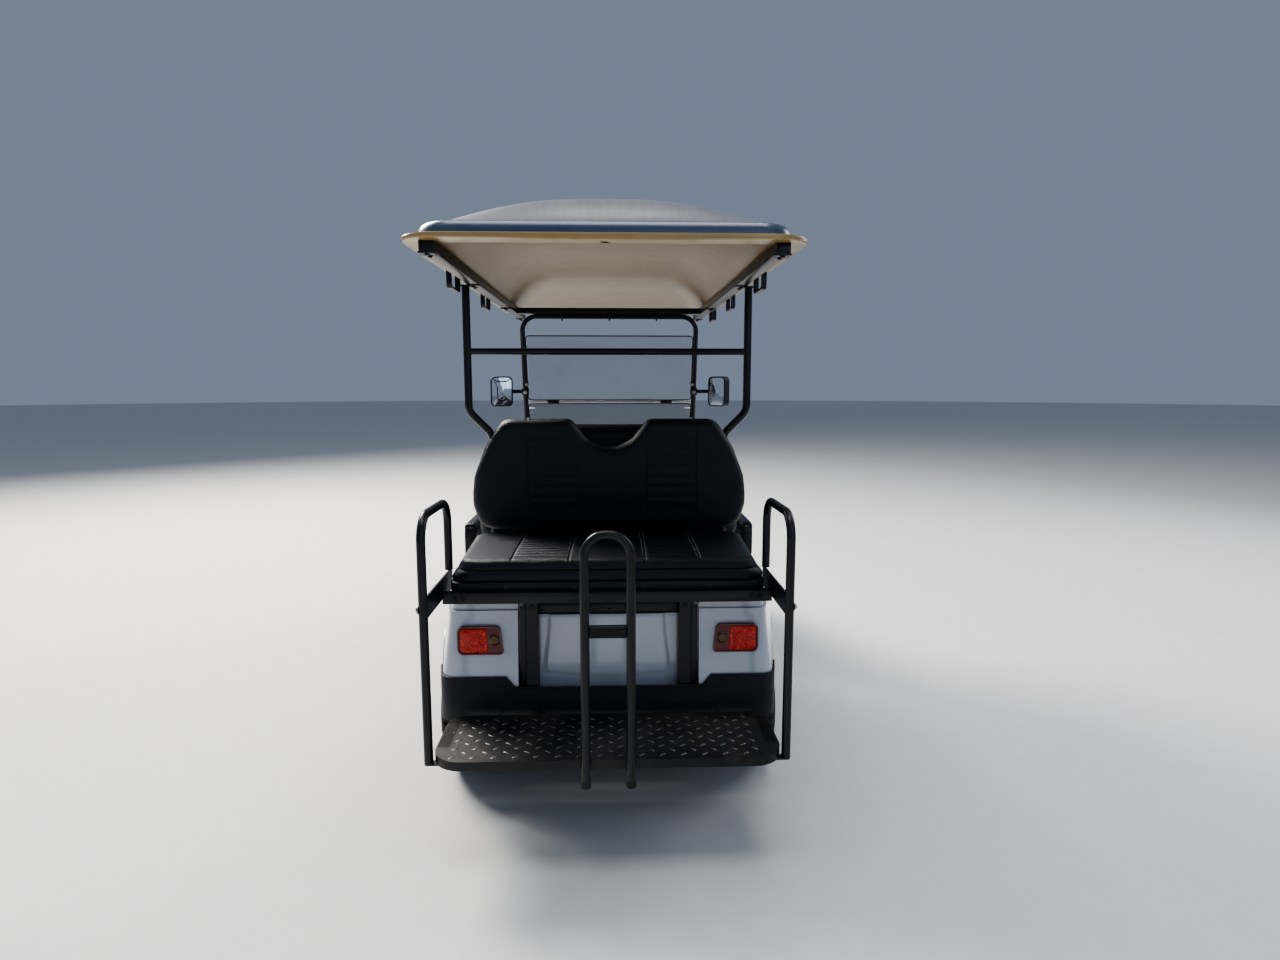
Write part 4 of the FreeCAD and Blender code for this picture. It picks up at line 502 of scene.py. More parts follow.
def make_clear(name, colour, second, rough, index, passing, glow, cells):
    """A see-through plastic with a haze of wipe marks; a lamp's lens is moulded in small square cells."""
    tree, shader, spot = new_material(name)
    haze = noise(tree, spot, 6.0, 6.0)
    share = ramp(tree, haze, 0.3, 0.7)
    if cells:
        cell = node(tree, "TexVoronoi", {"Vector": spot, "Scale": float(cells), "Randomness": 0.25},
                    distance="CHEBYCHEV")
        share = ramp(tree, node(tree, "SeparateColor", {0: cell.outputs["Color"]}).outputs[0], 0.72, 1.02)
        lift = node(tree, "Bump", {"Height": cell.outputs["Distance"], "Distance": 0.0025, "Strength": 0.8})
        put(tree, shader, "Normal", lift.outputs[0])
    tint = mix_colour(tree, share, colour + (1.0,), second + (1.0,))
    put(tree, shader, "Base Color", tint)
    put(tree, shader, "Roughness", math_node(tree, "ADD", math_node(tree, "MULTIPLY", ramp(tree, haze, 0.4, 0.8), 0.05),
                                             rough))
    put_all(tree, shader, {"IOR": index, "Transmission Weight": passing})
    if glow:
        put_all(tree, shader, {"Emission Color": tint, "Emission Strength": glow})

def make_materials():
    GROUPS.update(grain=grain_group(), dust=dust_group(), scuff=scuff_group(), streak=streak_group())
    for row in FINISH_ROWS:
        make_finish(*row)
    for row in CLEAR_ROWS:
        make_clear(*row)
    make_roof_top()


# Which finish each CAD node that stays visible takes
NODE_FINISH = (
    ("FramePaint", ("rear_roof_frame", "front_roof_frame", "roof_rails", "hip_restraints", "rear_seat_frame",
                    "arm_loops", "grab_bar", "steering_column", "roof_handles")),
    ("ChassisPaint", ("chassis_frame",)),
    ("AxleIron", ("front_axle", "knuckle_left", "knuckle_right", "tie_rod", "rear_axle")),
    ("SpringSteel", ("leaf_springs",)),
    ("BodyGloss", ("rear_body", "front_cowl", "rear_access_panel")),
    ("BlackPlastic", ("rear_bumper", "front_bumper", "dashboard", "mirror_housings", "rear_seat_board", "pedals")),
    ("GripRubber", ("steering_wheel",)),
    ("FloorRubber", ("floor_pan",)),
    ("TyreRubber", ("tyre_front_left", "tyre_front_right", "tyre_rear_left", "tyre_rear_right")),
    ("RimPaint", ("rim_front_left", "rim_front_right", "rim_rear_left", "rim_rear_right")),
    ("SeatVinyl", ("front_seat_cushion", "front_seat_back", "rear_seat_cushion", "rear_seat_back")),
    ("RoofTan", ("roof_shell",)),
    ("TreadPlate", ("footplate",)),
    ("BatteryCase", ("battery_pack",)),
    ("ScreenClear", ("windshield",)),
    ("LampRed", ("tail_lamps",)),
    ("LampClear", ("head_lamps",)),
)
# CAD nodes whose sharp edges get a small round
EDGE_ROUNDS = (
    # round in metres, nodes
    (0.0015, ("chassis_frame", "rear_seat_frame", "rear_seat_board", "steering_column", "front_axle", "rear_axle",
              "roof_rails", "floor_pan", "battery_pack", "leaf_springs")),
    (0.003, ("front_bumper", "dashboard", "rear_bumper", "hip_restraints", "pedals")),
)


def dress_nodes():
    """Gives every CAD node its finish, welds its triangles and smooths across shallow edges."""
    nodes = frame["nodes"]
    for finish, names in NODE_FINISH:
        for name in names:
            mesh = nodes[name].data
            mesh.materials.clear()
            mesh.materials.append(FINISH[finish])
            mesh.polygons.foreach_set("use_smooth", np.ones(len(mesh.polygons), bool))
            mesh.polygons.foreach_set("material_index", np.zeros(len(mesh.polygons), np.int32))
            weld = nodes[name].modifiers.new("Weld", "WELD")
            weld.merge_threshold = 0.00002
    for width, names in EDGE_ROUNDS:
        for name in names:
            edge = nodes[name].modifiers.new("Edge", "BEVEL")
            edge.width = width
            edge.segments = 2
            edge.limit_method = "ANGLE"
            edge.angle_limit = math.radians(50)
            edge.harden_normals = False
    for name, item in nodes.items():
        split = item.modifiers.new("Split", "EDGE_SPLIT")
        split.split_angle = math.radians(32)


# Roof

def roof_ring(inset, radius, height):
    """The roof's rounded rectangle drawn in by inset, at one height: even steps on the sides, round corners."""
    low, high = low_high("roof_shell")
    half_x = (high[0] - low[0]) / 2 - inset
    low_y, high_y = low[1] + inset, high[1] - inset
    across = np.linspace(-1, 1, 41)[1:-1]
    quarter = np.linspace(0, math.pi / 2, 11)
    parts = []
    for turn in range(4):
        angle = quarter + turn * math.pi / 2
        side_x = 1 if turn in (0, 3) else -1
        middle_x = side_x * (half_x - radius)
        middle_y = high_y - radius if turn < 2 else low_y + radius
        parts.append(np.stack([middle_x + radius * np.cos(angle), middle_y + radius * np.sin(angle)], -1))
        if turn % 2 == 0:
            edge_y = high_y if turn == 0 else low_y
            parts.append(np.stack([side_x * across[::-1] * (half_x - radius), np.full(39, edge_y)], -1))
        else:
            edge_x = side_x * half_x
            span = np.linspace(middle_y, low_y + high_y - middle_y, 41)[1:-1]
            parts.append(np.stack([np.full(39, edge_x), span], -1))
    return lying(np.concatenate(parts), height)


def dome_height(x, y, half_x, half_y, edge):
    """One less x to the 2.6 raised to 0.9, times one less y to the tenth, held to nought at the dome's edge."""
    across = np.clip(1 - np.abs(x / half_x) ** 2.6, 0, 1) ** 0.9
    return across * (1 - np.abs(y / half_y) ** 10) * (1 - edge ** 20)


def make_roof(lip, rise, ceiling):
    """Lip, steep band and dome as rings drawn in from the outline, and a ceiling with creased coves."""
    low, high = low_high("roof_shell")
    foot = low[2]
    middle_y = (low[1] + high[1]) / 2
    shell = Piece("Roof_shell")
    edge = [(0.03, 0.0), (0.006, 0.0), (0.0015, 0.0015), (0.0, 0.005), (0.0, lip - 0.005), (0.0015, lip - 0.0015),
            (0.006, lip), (0.036, lip + 0.002)]
    shell.grid([roof_ring(inset, 0.11 - inset * 0.5, foot + up) for inset, up in edge], around_cols=True, mark=0)
    band = [(0.036, lip + 0.002), (0.0385, lip + 0.005), (0.041, lip + 0.018), (0.0455, lip + 0.029),
            (0.053, lip + 0.037), (0.062, lip + 0.041)]
    shell.grid([roof_ring(inset, 0.105 - inset * 0.3, foot + up) for inset, up in band], around_cols=True, mark=1)
    rim = roof_ring(0.062, 0.105 - 0.0186, foot + lip + 0.041)
    centre = np.array([0.0, middle_y, 0.0])
    share = np.concatenate([1 - np.linspace(0, 1, 13) ** 1.6 * 0.12, np.linspace(0.88, 0, 34)[1:]])
    spots = centre + (rim - centre) * np.stack([share, share, np.ones_like(share)], -1)[:, None]
    top = high[2] - rim[0, 2]
    half_x = rim[:, 0].max()
    half_y = rim[:, 1].max() - middle_y
    spots[..., 2] = rim[0, 2] + min(rise, top) * dome_height(spots[..., 0], spots[..., 1] - middle_y, half_x, half_y,
                                                              share[:, None])
    shell.grid(spots, around_cols=True, mark=2)
    # Underside: flat rim, then the ceiling
    half = 0.4915
    rear, front = low[1] + 0.072, high[1] - 0.072
    outer = roof_ring(0.03, 0.095, foot)
    inner = outer.copy()
    inner[:, 0] = np.clip(inner[:, 0], -half, half)
    inner[:, 1] = np.clip(inner[:, 1], rear, front)
    shell.grid([outer, inner], around_cols=True, mark=0)
    hip = 0.43
    rows = np.concatenate([np.linspace(rear, rear + 0.1, 12), np.linspace(rear + 0.1, hip, 50)[1:],
                           np.linspace(hip, front, 26)[1:]])
    ahead = np.clip((rows - hip) / (front - hip), 0, 1)
    crease = 0.27 + 0.18 * ahead
    fall = 0.6 * (1 - ahead ** 2) + 0.4 * (1 - ahead)
    behind = np.clip((-0.25 - rows) / (-0.25 - rear), 0, 1)
    along_y = np.where(rows > hip, fall, 1 - behind ** 2.4)
    inside = np.linspace(-1, 1, 25)
    cove = np.linspace(0, 1, 17)[1:]
    x_in = inside[None] * crease[:, None]
    x_out = crease[:, None] + cove[None] * (half - crease)[:, None]
    t = 1 - cove
    slope = 0.72 * (1 - (1 - t) ** 2) + 0.28 * t
    z_in = along_y[:, None] * (1 + 0.05 * (1 - inside[None] ** 2))
    z_out = along_y[:, None] * slope[None]
    x = np.concatenate([-x_out[:, ::-1], x_in, x_out], 1)
    z = foot + ceiling * np.concatenate([z_out[:, ::-1], z_in, z_out], 1)
    y = np.broadcast_to(rows[:, None], x.shape)
    shell.grid(xyz(x, y, z)[:, ::-1], mark=3)
    # Lip and underside rim take the tan; the band, dome and ceiling take darker finishes, painted shade and sky
    # reflection on the same tan shell
    shell.build(("RoofTan", "RoofBandPaintedSky", "RoofTopPaintedSky", "RoofCeiling"), "chassis",
                nodes=("roof_shell",), outward=False, sharp=24)


def hex_bolt(piece, spot, axis, radius=0.0075, height=0.006, mark=0):
    """A six-sided head on a round washer."""
    washer = [(0.0, radius * 1.5), (0.0016, radius * 1.5), (0.0016, radius * 0.9)]
    piece.turn(washer, spot, axis, 16, mark=mark)
    head = [(0.0014, radius), (height * 0.8, radius), (height, radius * 0.8), (height, 0.0001)]
    piece.turn(head, spot, axis, 6, mark=mark)


def make_roof_fixings():
    """Cross bar under the roof's front, its hanging bolts, and the rails' end brackets with their bolts."""
    rails_low, rails_high = low_high("roof_rails")
    hoop_low, hoop_high = low_high("front_roof_frame")
    bar = Piece("Roof_front_bar")
    middle = hoop_low[1] + 0.0125
    low_z, high_z = hoop_high[2] + 0.0002, rails_high[2]
    profile = rounded_box(0.052, high_z - low_z, 0.004)
    path = xyz(np.array([-0.4645, 0.4645]), middle, (low_z + high_z) / 2)
    bar.tube(along(path, profile, (0, 0, 1)))
    for x in (-0.24, 0.0, 0.24):
        spot = (x, middle - 0.021, hoop_high[2])
        stem = [(0.0, 0.0045), (0.032, 0.0045), (0.036, 0.002), (0.036, 0.0001)]
        bar.turn(stem, spot, (0, 0, -1), 10)
        hex_bolt(bar, spot, (0, 0, -1), 0.008, 0.007)
    bar.build("FramePaint", "chassis")
    ends = Piece("Roof_rail_brackets")
    for side in (-1, 1):
        for y, length in ((rails_low[1] + 0.03, 0.06), (-0.465, 0.07), (0.36, 0.05), (rails_high[1] - 0.045, 0.07)):
            plate = rounded_box(0.05, length, 0.006)
            under = rails_low[2]
            layers = [(0.0, 1.0), (-0.003, 1.0), (-0.0042, 0.95)]
            grid = [lying(plate * s + (side * 0.485, y), under + z) for z, s in layers]
            ends.grid(grid, around_cols=True)
            ends.cap(grid[-1])
            for shift in (-0.3, 0.3):
                hex_bolt(ends, (side * 0.485, y + shift * length, under - 0.0042), (0, 0, -1), 0.0062, 0.0055)
    ends.build("FramePaint", "chassis", outward=False)


# Seats

def spread(low, high, step, fine=(), reach=0.009, fine_step=0.0022):
    """Coordinates from low to high at even steps, closer together near the fine places."""
    count = max(int(round((high - low) / step)), 2)
    rows = [np.linspace(low, high, count + 1)]
    for place in fine:
        rows.append(place + np.arange(-reach, reach + 1e-9, fine_step))
    values = np.sort(np.concatenate(rows))
    values = values[(values >= low) & (values <= high)]
    keep = np.concatenate([[True], np.diff(values) > fine_step * 0.45])
    values = values[keep]
    values[-1] = high
    return values


def outline_distance(points, outline, batch=4000):
    """How far each point lies from a closed outline: the least distance to its samples."""
    fine = resample(outline, 900)
    out = np.empty(len(points))
    for start in range(0, len(points), batch):
        gap = points[start:start + batch, None] - fine[None]
        out[start:start + batch] = np.sqrt((gap ** 2).sum(-1)).min(1)
    return out


def upper_lower(outline, xs):
    """The outline's top and bottom heights over the places xs."""
    outline = np.concatenate([outline, outline[:1]])
    left, right = outline[:, 0].argmin(), outline[:, 0].argmax()
    loop = outline[:-1]
    count = len(loop)
    a = loop[(left + np.arange((right - left) % count + 1)) % count]
    b = loop[(right + np.arange((left - right) % count + 1)) % count][::-1]
    heights = []
    for chain in (a, b):
        x = np.maximum.accumulate(chain[:, 0]) + np.arange(len(chain)) * 1e-9
        heights.append(np.interp(xs, x, chain[:, 1]))
    top, bottom = np.maximum(*heights), np.minimum(*heights)
    return top, bottom


def groove(distance, width, depth):
    """A sewn line: depth times the bell of the distance over the width."""
    return -depth * np.exp(-(distance / width) ** 2)


def ribs(height, low, high, count, depth):
    """Padded ribs between two heights: depth times the root of the sine's size, less the depth."""
    t = np.clip((height - low) / (high - low), 0, 1) * count
    return depth * (np.abs(np.sin(math.pi * t)) ** 0.55 - 1)


def panel_face(x, height, panels, low, high, count, depth):
    """Ribs inside each panel, whose edges sink into seams that run the whole height."""
    out = np.zeros_like(x)
    for left, right in panels:
        inside = smooth((x - left) / 0.006) * smooth((right - x) / 0.006)
        inside = inside * smooth((height - low) / 0.008 + 1) * smooth((high - height) / 0.008 + 1)
        out += inside * ribs(height, low, high, count, depth)
        out += groove(x - left, 0.0035, 0.0035) + groove(x - right, 0.0035, 0.0035)
    return out


def stitches(piece, path, up, pitch=0.008, length=0.0055, thick=0.0008, mark=0):
    """Short raised threads along a line: each is a six-sided bead of a fixed size, turned to the line."""
    path = np.asarray(path, float)
    step = np.linalg.norm(np.diff(path, axis=0), axis=1)
    place = np.concatenate([[0], np.cumsum(step)])
    middle = np.arange(pitch / 2, place[-1] - pitch / 2, pitch)
    ends = []
    for shift in (-length / 2, length / 2):
        ends.append(read_off(middle + shift, place, path))
    ups = np.broadcast_to(np.asarray(up, float), path.shape)
    lift = read_off(middle, place, ups)
    lift /= np.linalg.norm(lift, axis=1, keepdims=True)
    a, b = ends
    way = (b - a) / np.linalg.norm(b - a, axis=1, keepdims=True)
    side = np.cross(way, lift) * thick
    top = lift * thick
    corners = np.stack([a - top * 0.5, a + way * length * 0.25 + side, a + way * length * 0.25 + top,
                        a + way * length * 0.25 - side, b - way * length * 0.25 + side, b - way * length * 0.25 + top,
                        b - way * length * 0.25 - side, b - top * 0.5], 1)
    faces = np.array([(0, 1, 2), (0, 2, 3), (1, 4, 5), (1, 5, 2), (2, 5, 6), (2, 6, 3), (4, 7, 5), (5, 7, 6)])
    count = len(middle)
    piece.add(corners.reshape(-1, 3), (faces[None] + np.arange(count)[:, None, None] * 8).reshape(-1, 3), mark)


def upright_pad(piece, outline, y_front, y_rear, edge, face, xs, bands, crown=0.006):
    """A back pad: columns xs, rows between the outline's bottom and top held to level bands,
    each face stands off by the edge round, the square root of one less the square of the nearness to the edge."""
    top, bottom = upper_lower(outline, xs)
    low_band, high_band = bands
    t = (1 - np.cos(np.linspace(0, math.pi, 13))) / 2
    # Rows bunch up at the outline and are level inside the band
    ends = 1 - np.cos(np.linspace(0, math.pi / 2, 10))
    z1 = np.maximum(low_band, bottom + (top - bottom) * 0.22)
    z2 = np.minimum(high_band, top - (top - bottom) * 0.12)
    z2 = np.maximum(z2, z1 + (top - z1) * 0.3)
    count = int(round((high_band - low_band) / 0.0046))
    rows = [bottom[None] + ends[:-1, None] * (z1 - bottom)[None],
            z1[None] + np.linspace(0, 1, count)[:-1, None] * (z2 - z1)[None],
            top[None] - ends[::-1][:, None] * (top - z2)[None]]
    z = np.concatenate(rows)
    x = np.broadcast_to(xs[None], z.shape)
    flat = np.stack([x.ravel(), z.ravel()], -1)
    away = outline_distance(flat, outline).reshape(z.shape)
    near = np.clip(1 - away / edge, 0, 1)
    swell = np.sqrt(np.clip(1 - near ** 2, 0, 1))
    middle, half = (y_front + y_rear) / 2, abs(y_front - y_rear) / 2
    reach = smooth(away / (edge * 2.5))
    for side, shape in ((-1, face), (1, None)):
        bulge = crown * (1 - (x / np.abs(xs).max()) ** 2) * smooth(away / 0.16)
        depth = (half - crown) * swell + bulge
        if shape is not None:
            depth = depth + shape(x, z) * reach
        y = middle + side * depth
        grid = xyz(x, y, z)
        piece.grid(grid if side < 0 else grid[:, ::-1])


def mirrored(half, shift=0.0):
    """A closed outline from its right half, listed from the bottom up, with each corner's round."""
    right = [(x + shift, y, r) for x, y, r in half]
    left = [(-x + shift, y, r) for x, y, r in reversed(half)]
    return rounded_polygon(right + left, 7)


def pad_columns(outline, panels, step):
    """Columns of a back pad: close together at the panels' seams and, as a sine, towards the outline's ends."""
    low, high = outline[:, 0].min(), outline[:, 0].max()
    bow = np.sin(np.linspace(-math.pi / 2, math.pi / 2, 37)) * (high - low) / 2 + (high + low) / 2
    inner = spread(low + 0.09, high - 0.09, step, np.ravel(panels), 0.0075, 0.0025)
    return np.concatenate([bow[bow < inner[0] - 0.003], inner, bow[bow > inner[-1] + 0.003]])


def sew(trim, name, panels, gap, run, axis, side, thick):
    """Stitches beside both seams of each panel: run gives a seam's line, which is laid on the piece's surface."""
    for seam in np.ravel(panels):
        for way in (-1, 1):
            spots = run(seam)
            spots[:, 0] += way * gap
            spots[:, "xyz".index(axis)] = surface(name, spots, axis, side)
            stitches(trim, spots, (0, side, 0) if axis == "y" else (0, 0, side), 0.0075, 0.0052, thick)


REAR_PANELS = ((-0.29, -0.113), (0.134, 0.316))
REAR_BACK = ((0.425, 0.806, 0.04), (0.478, 0.825, 0.05), (0.5025, 0.905, 0.09), (0.496, 1.0, 0.15),
             (0.448, 1.12, 0.1), (0.385, 1.2125, 0.055), (0.14, 1.2125, 0.036), (0.08, 1.138, 0.06),
             (0.026, 1.112, 0.07))
FRONT_BACK = ((0.43, 0.6905, 0.05), (0.482, 0.712, 0.06), (0.4985, 0.8, 0.12), (0.49, 0.96, 0.15),
              (0.445, 1.11, 0.12), (0.372, 1.1855, 0.065))


def make_rear_back(count, depth):
    """Rear seat back: two humps with a bowl between, ribbed panels, seams down their sides and rounded edges."""
    low, high = low_high("rear_seat_back")
    outline = mirrored(REAR_BACK, 0.003)
    shell = Piece("Rear_seat_back")
    xs = pad_columns(outline, REAR_PANELS, 0.011)

    def face(x, z):
        return panel_face(x, z, REAR_PANELS, 0.892, 1.15, count, depth)

    upright_pad(shell, outline, high[1], low[1], 0.034, face, xs, (0.885, 1.157))
    shell.build("SeatVinyl", "chassis", nodes=("rear_seat_back",), merge=0.0002, sharp=75)
    trim = Piece("Rear_back_stitching")

    def run(x):
        top, bottom = upper_lower(outline, np.array([x]))
        return xyz(x, 0, np.linspace(bottom[0] + 0.045, top[0] - 0.045, 40))

    sew(trim, "Rear_seat_back", REAR_PANELS, 0.0062, run, "y", -1, 0.0007)
    trim.build("ThreadBlack", "chassis", merge=0, outward=False)


def surface(name, spots, axis, side=1, lift=0.0002):
    """Where a line along an axis through each spot meets a piece, coming from the side given, moved out by lift."""
    item = bpy.data.objects[name]
    axis = "xyz".index(axis)
    out = np.empty(len(spots))
    for index, spot in enumerate(spots):
        start, way = np.array(spot, float), np.zeros(3)
        start[axis], way[axis] = side * 5.0, -side
        hit, place, _, _ = item.ray_cast(Vector(start), Vector(way))
        if not hit:
            raise RuntimeError("No surface of " + name + " at " + str(spot))
        out[index] = place[axis] + side * lift
    return out


def corner_grid(xs, ys, radius):
    """A grid of points whose square corners are pulled onto circles: in a corner each point is scaled by its
    larger step over its distance."""
    x, y = np.meshgrid(xs, ys, indexing="ij")
    for sx in (-1, 1):
        for sy in (-1, 1):
            cx = (xs[-1] if sx > 0 else xs[0]) - sx * radius
            cy = (ys[-1] if sy > 0 else ys[0]) - sy * radius
            dx, dy = (x - cx) * sx, (y - cy) * sy
            inside = (dx > 0) & (dy > 0)
            far = np.maximum(dx, dy) / np.maximum(np.hypot(dx, dy), 1e-9)
            x = np.where(inside, cx + sx * dx * far, x)
            y = np.where(inside, cy + sy * dy * far, y)
    return x, y


def border(grid):
    """The points round the edge of a grid, in order."""
    return np.concatenate([grid[:-1, 0], grid[-1, :-1], grid[:0:-1, -1], grid[0, :0:-1]])


def offset_ring(ring, distance):
    """A flat ring moved outwards along its normals."""
    ahead = np.roll(ring, -1, 0) - np.roll(ring, 1, 0)
    normal = np.stack([ahead[:, 1], -ahead[:, 0]], -1)
    normal /= np.maximum(np.linalg.norm(normal, axis=1, keepdims=True), 1e-9)
    middle = ring[:, :2].mean(0)
    sign = np.sign((normal * (ring[:, :2] - middle)).sum())
    out = ring.copy()
    out[:, :2] += sign * normal * distance
    return out


def seat_cushion(piece, xs, ys, radius, top, profile, face, crown, edge, halves=None):
    """A seat pad: a top with rounded corners that falls towards its edge, and sides that follow a profile of
    (outwards, height); the crown is the product of one less the fourth powers across and along. The halves are
    the half widths at the rear of the top, at its front and at the foot: x is scaled by their blend."""
    x, y = corner_grid(xs, ys, radius)
    half_x, half_y = (xs[-1] - xs[0]) / 2, (ys[-1] - ys[0]) / 2
    u = (x - (xs[0] + xs[-1]) / 2) / half_x
    v = (y - (ys[0] + ys[-1]) / 2) / half_y
    rear, front, foot = halves or (half_x, half_x, half_x)

    def widened(points, share):
        t = (points[..., 1] - ys[0]) / (ys[-1] - ys[0])
        half = (1 - share) * (rear + (front - rear) * t) + share * foot
        points[..., 0] *= half / half_x
        return points

    x = widened(np.stack([x, y], -1), 0.0)[..., 0]
    flat = np.stack([x.ravel(), y.ravel()], -1)
    rim = border(np.stack([x, y], -1))
    away = outline_distance(flat, rim).reshape(x.shape)
    near = np.clip(1 - away / edge, 0, 1)
    height = top + crown * (1 - u ** 4) * (1 - v ** 4) - edge * 0.55 * (1 - np.sqrt(np.clip(1 - near ** 2, 0, 1)))
    height = height + face(x, y) * smooth(away / (edge * 1.2))
    grid = xyz(x, y, height)
    piece.grid(grid)
    ring = border(grid)
    rows = [ring]
    start = ring[0, 2]
    foot_level = profile[-1][1]
    flat_ring = ring.copy()
    t = (ring[:, 1] - ys[0]) / (ys[-1] - ys[0])
    flat_ring[:, 0] *= half_x / (rear + (front - rear) * t)
    for out, level in profile:
        row = offset_ring(widened(flat_ring.copy(), smooth((start - level) / (start - foot_level))), out)
        row[:, 2] = level
        rows.append(row)
    piece.grid(np.array(rows), around_cols=True)
    piece.cap(rows[-1])


def channels(x, y, panels, lines):
    """Sewn channels across each panel, the deepest of the bells at each line, and a seam down each of its sides."""
    deepest = np.zeros_like(y)
    for line in lines:
        deepest = np.minimum(deepest, groove(y - line, 0.0035, 0.0032))
    out = np.zeros_like(x)
    for left, right in panels:
        out += smooth((x - left) / 0.005) * smooth((right - x) / 0.005) * deepest
        out += groove(x - left, 0.0032, 0.0036) + groove(x - right, 0.0032, 0.0036)
    return out


CUSHION_PANELS = ((-0.296, -0.121), (0.1135, 0.281))


def make_rear_cushion(count):
    """Rear seat cushion: ribbed panels between stitched seams, two rolls down its faces and sloping sides."""
    low, high = low_high("rear_seat_cushion")
    shell = Piece("Rear_seat_cushion")
    lines = np.linspace(low[1] + 0.062, high[1] - 0.03, count + 1)
    xs = spread(-0.452, 0.452, 0.012, np.ravel(CUSHION_PANELS), 0.0075, 0.0025)
    ys = spread(low[1] + 0.013, high[1] - 0.008, 0.012, lines, 0.005, 0.0025)

    def face(x, y):
        return channels(x, y, CUSHION_PANELS, lines)

    top = high[2] - 0.0075
    profile = ((0.0025, top - 0.0105), (0.005, top - 0.015), (0.0062, top - 0.021), (0.006, top - 0.026),
               (0.0042, top - 0.0288), (0.0026, top - 0.03), (0.0048, top - 0.0312), (0.008, top - 0.0345),
               (0.01, top - 0.04), (0.011, top - 0.048), (0.0108, top - 0.056), (0.008, top - 0.061),
               (0.004, low[2] + 0.0012), (0.0005, low[2] + 0.0004))
    seat_cushion(shell, xs, ys, 0.05, top, profile, face, 0.0075, 0.014, (0.45, 0.472, 0.474))
    shell.build("SeatVinyl", "rear_seat", nodes=("rear_seat_cushion",), merge=0.0002, sharp=75)
    trim = Piece("Rear_cushion_stitching")

    def run(x):
        return xyz(x, np.linspace(low[1] + 0.045, high[1] - 0.03, 40), 0)

    sew(trim, "Rear_seat_cushion", CUSHION_PANELS, 0.0058, run, "z", 1, 0.0008)
    trim.build("Thread", "rear_seat", merge=0, outward=False)


def make_front_seats(count, depth):
    """Front seat: a flat-topped back with ribbed panels towards the driver, and a cushion like the rear one."""
    low, high = low_high("front_seat_back")
    outline = mirrored(FRONT_BACK)
    panels = ((-0.395, -0.125), (0.125, 0.395))
    shell = Piece("Front_seat_back")
    xs = pad_columns(outline, panels, 0.012)
    middle = (low[1] + high[1]) / 2

    def face(x, z):
        return panel_face(x, z, panels, 0.79, 1.11, count, depth)

    upright_pad(shell, outline, low[1], high[1], 0.045, face, xs, (0.78, 1.12))
    for block in shell.points:
        block[:, 1] = 2 * middle - block[:, 1]
    shell.build("SeatVinyl", "chassis", nodes=("front_seat_back",), merge=0.0002, sharp=75)
    low, high = low_high("front_seat_cushion")
    cushion = Piece("Front_seat_cushion")
    lines = np.linspace(low[1] + 0.04, high[1] - 0.075, 10)
    xs = spread(-0.484, 0.484, 0.013, np.ravel(panels), 0.0075, 0.0025)
    ys = spread(low[1] + 0.01, high[1] - 0.02, 0.013, lines, 0.005, 0.0025)

    def seat_face(x, y):
        return channels(x, y, panels, lines) + groove(x, 0.006, 0.006)

    top = high[2] - 0.009
    bottom = low[2]
    profile = ((0.006, top - 0.026), (0.0095, top - 0.036), (0.0105, top - 0.046), (0.007, top - 0.053),
               (0.003, top - 0.055), (0.007, top - 0.057), (0.0135, top - 0.064), (0.014, top - 0.076),
               (0.011, top - 0.088), (0.005, bottom + 0.002), (0.001, bottom + 0.0004))
    seat_cushion(cushion, xs, ys, 0.075, top, profile, seat_face, 0.009, 0.032)
    cushion.build("SeatVinyl", "front_seat", nodes=("front_seat_cushion",), merge=0.0002, sharp=75)


# Wheels

REAR_AXLE, FRONT_AXLE, AXLE_HEIGHT = -0.665, 1.0, 0.2285
STEERING_WHEEL = np.array([-0.268, 0.452, 0.985])
COLUMN_AXIS = np.array([0, -math.sin(math.radians(32)), math.cos(math.radians(32))])
WHEELS = ("front_left", "front_right", "rear_left", "rear_right")
TYRE_SIDE = (
    # across, radius, round of the corner: from the bead out to the edge of the tread
    (0.085, 0.1043, 0.0), (0.088, 0.113, 0.003), (0.096, 0.125, 0.006), (0.0985, 0.125, 0.001),
    (0.1, 0.13, 0.002), (0.108, 0.162, 0.03), (0.1065, 0.193, 0.004), (0.1078, 0.1945, 0.001),
    (0.1072, 0.1985, 0.001), (0.1035, 0.204, 0.006), (0.099, 0.215, 0.006), (0.09, 0.2225, 0.0),
)
TREAD_RUN = (0.088, 0.078, 0.066, 0.056, 0.042, 0.034, 0.0332, 0.0275, 0.0267, 0.018, 0.009, 0.0)
BLOCKS = 52
BLOCK_STEPS = (0.0, 0.03, 0.16, 0.3, 0.33, 0.55, 0.78)


def wheel_centre(place):
    """The wheel's middle and the side it stands on, from its tyre's box."""
    low, high = low_high("tyre_" + place)
    middle = (low + high) / 2
    return middle, math.copysign(1.0, middle[0])


def tread_radius(across, angle, radius, shift):
    """The crowned tread, radius less 4 mm times the square of across over 88 mm, cut by two straight grooves,
    by cuts between the shoulder blocks and by slanted cuts in the middle rib."""
    size = np.abs(across)
    crown = radius - 0.004 * (size / 0.088) ** 2
    phase = (angle / (2 * math.pi) * BLOCKS + shift) % 1.0
    grooves = ((size > 0.027) & (size < 0.0336)) * 0.0065
    cuts = ((size >= 0.034) & (phase > 0.02) & (phase < 0.31)) * 0.006 * smooth((size - 0.04) / 0.012)
    middle = ((size < 0.018) & (phase > 0.02) & (phase < 0.2)) * 0.003
    return crown - np.maximum(grooves, np.maximum(cuts, middle))


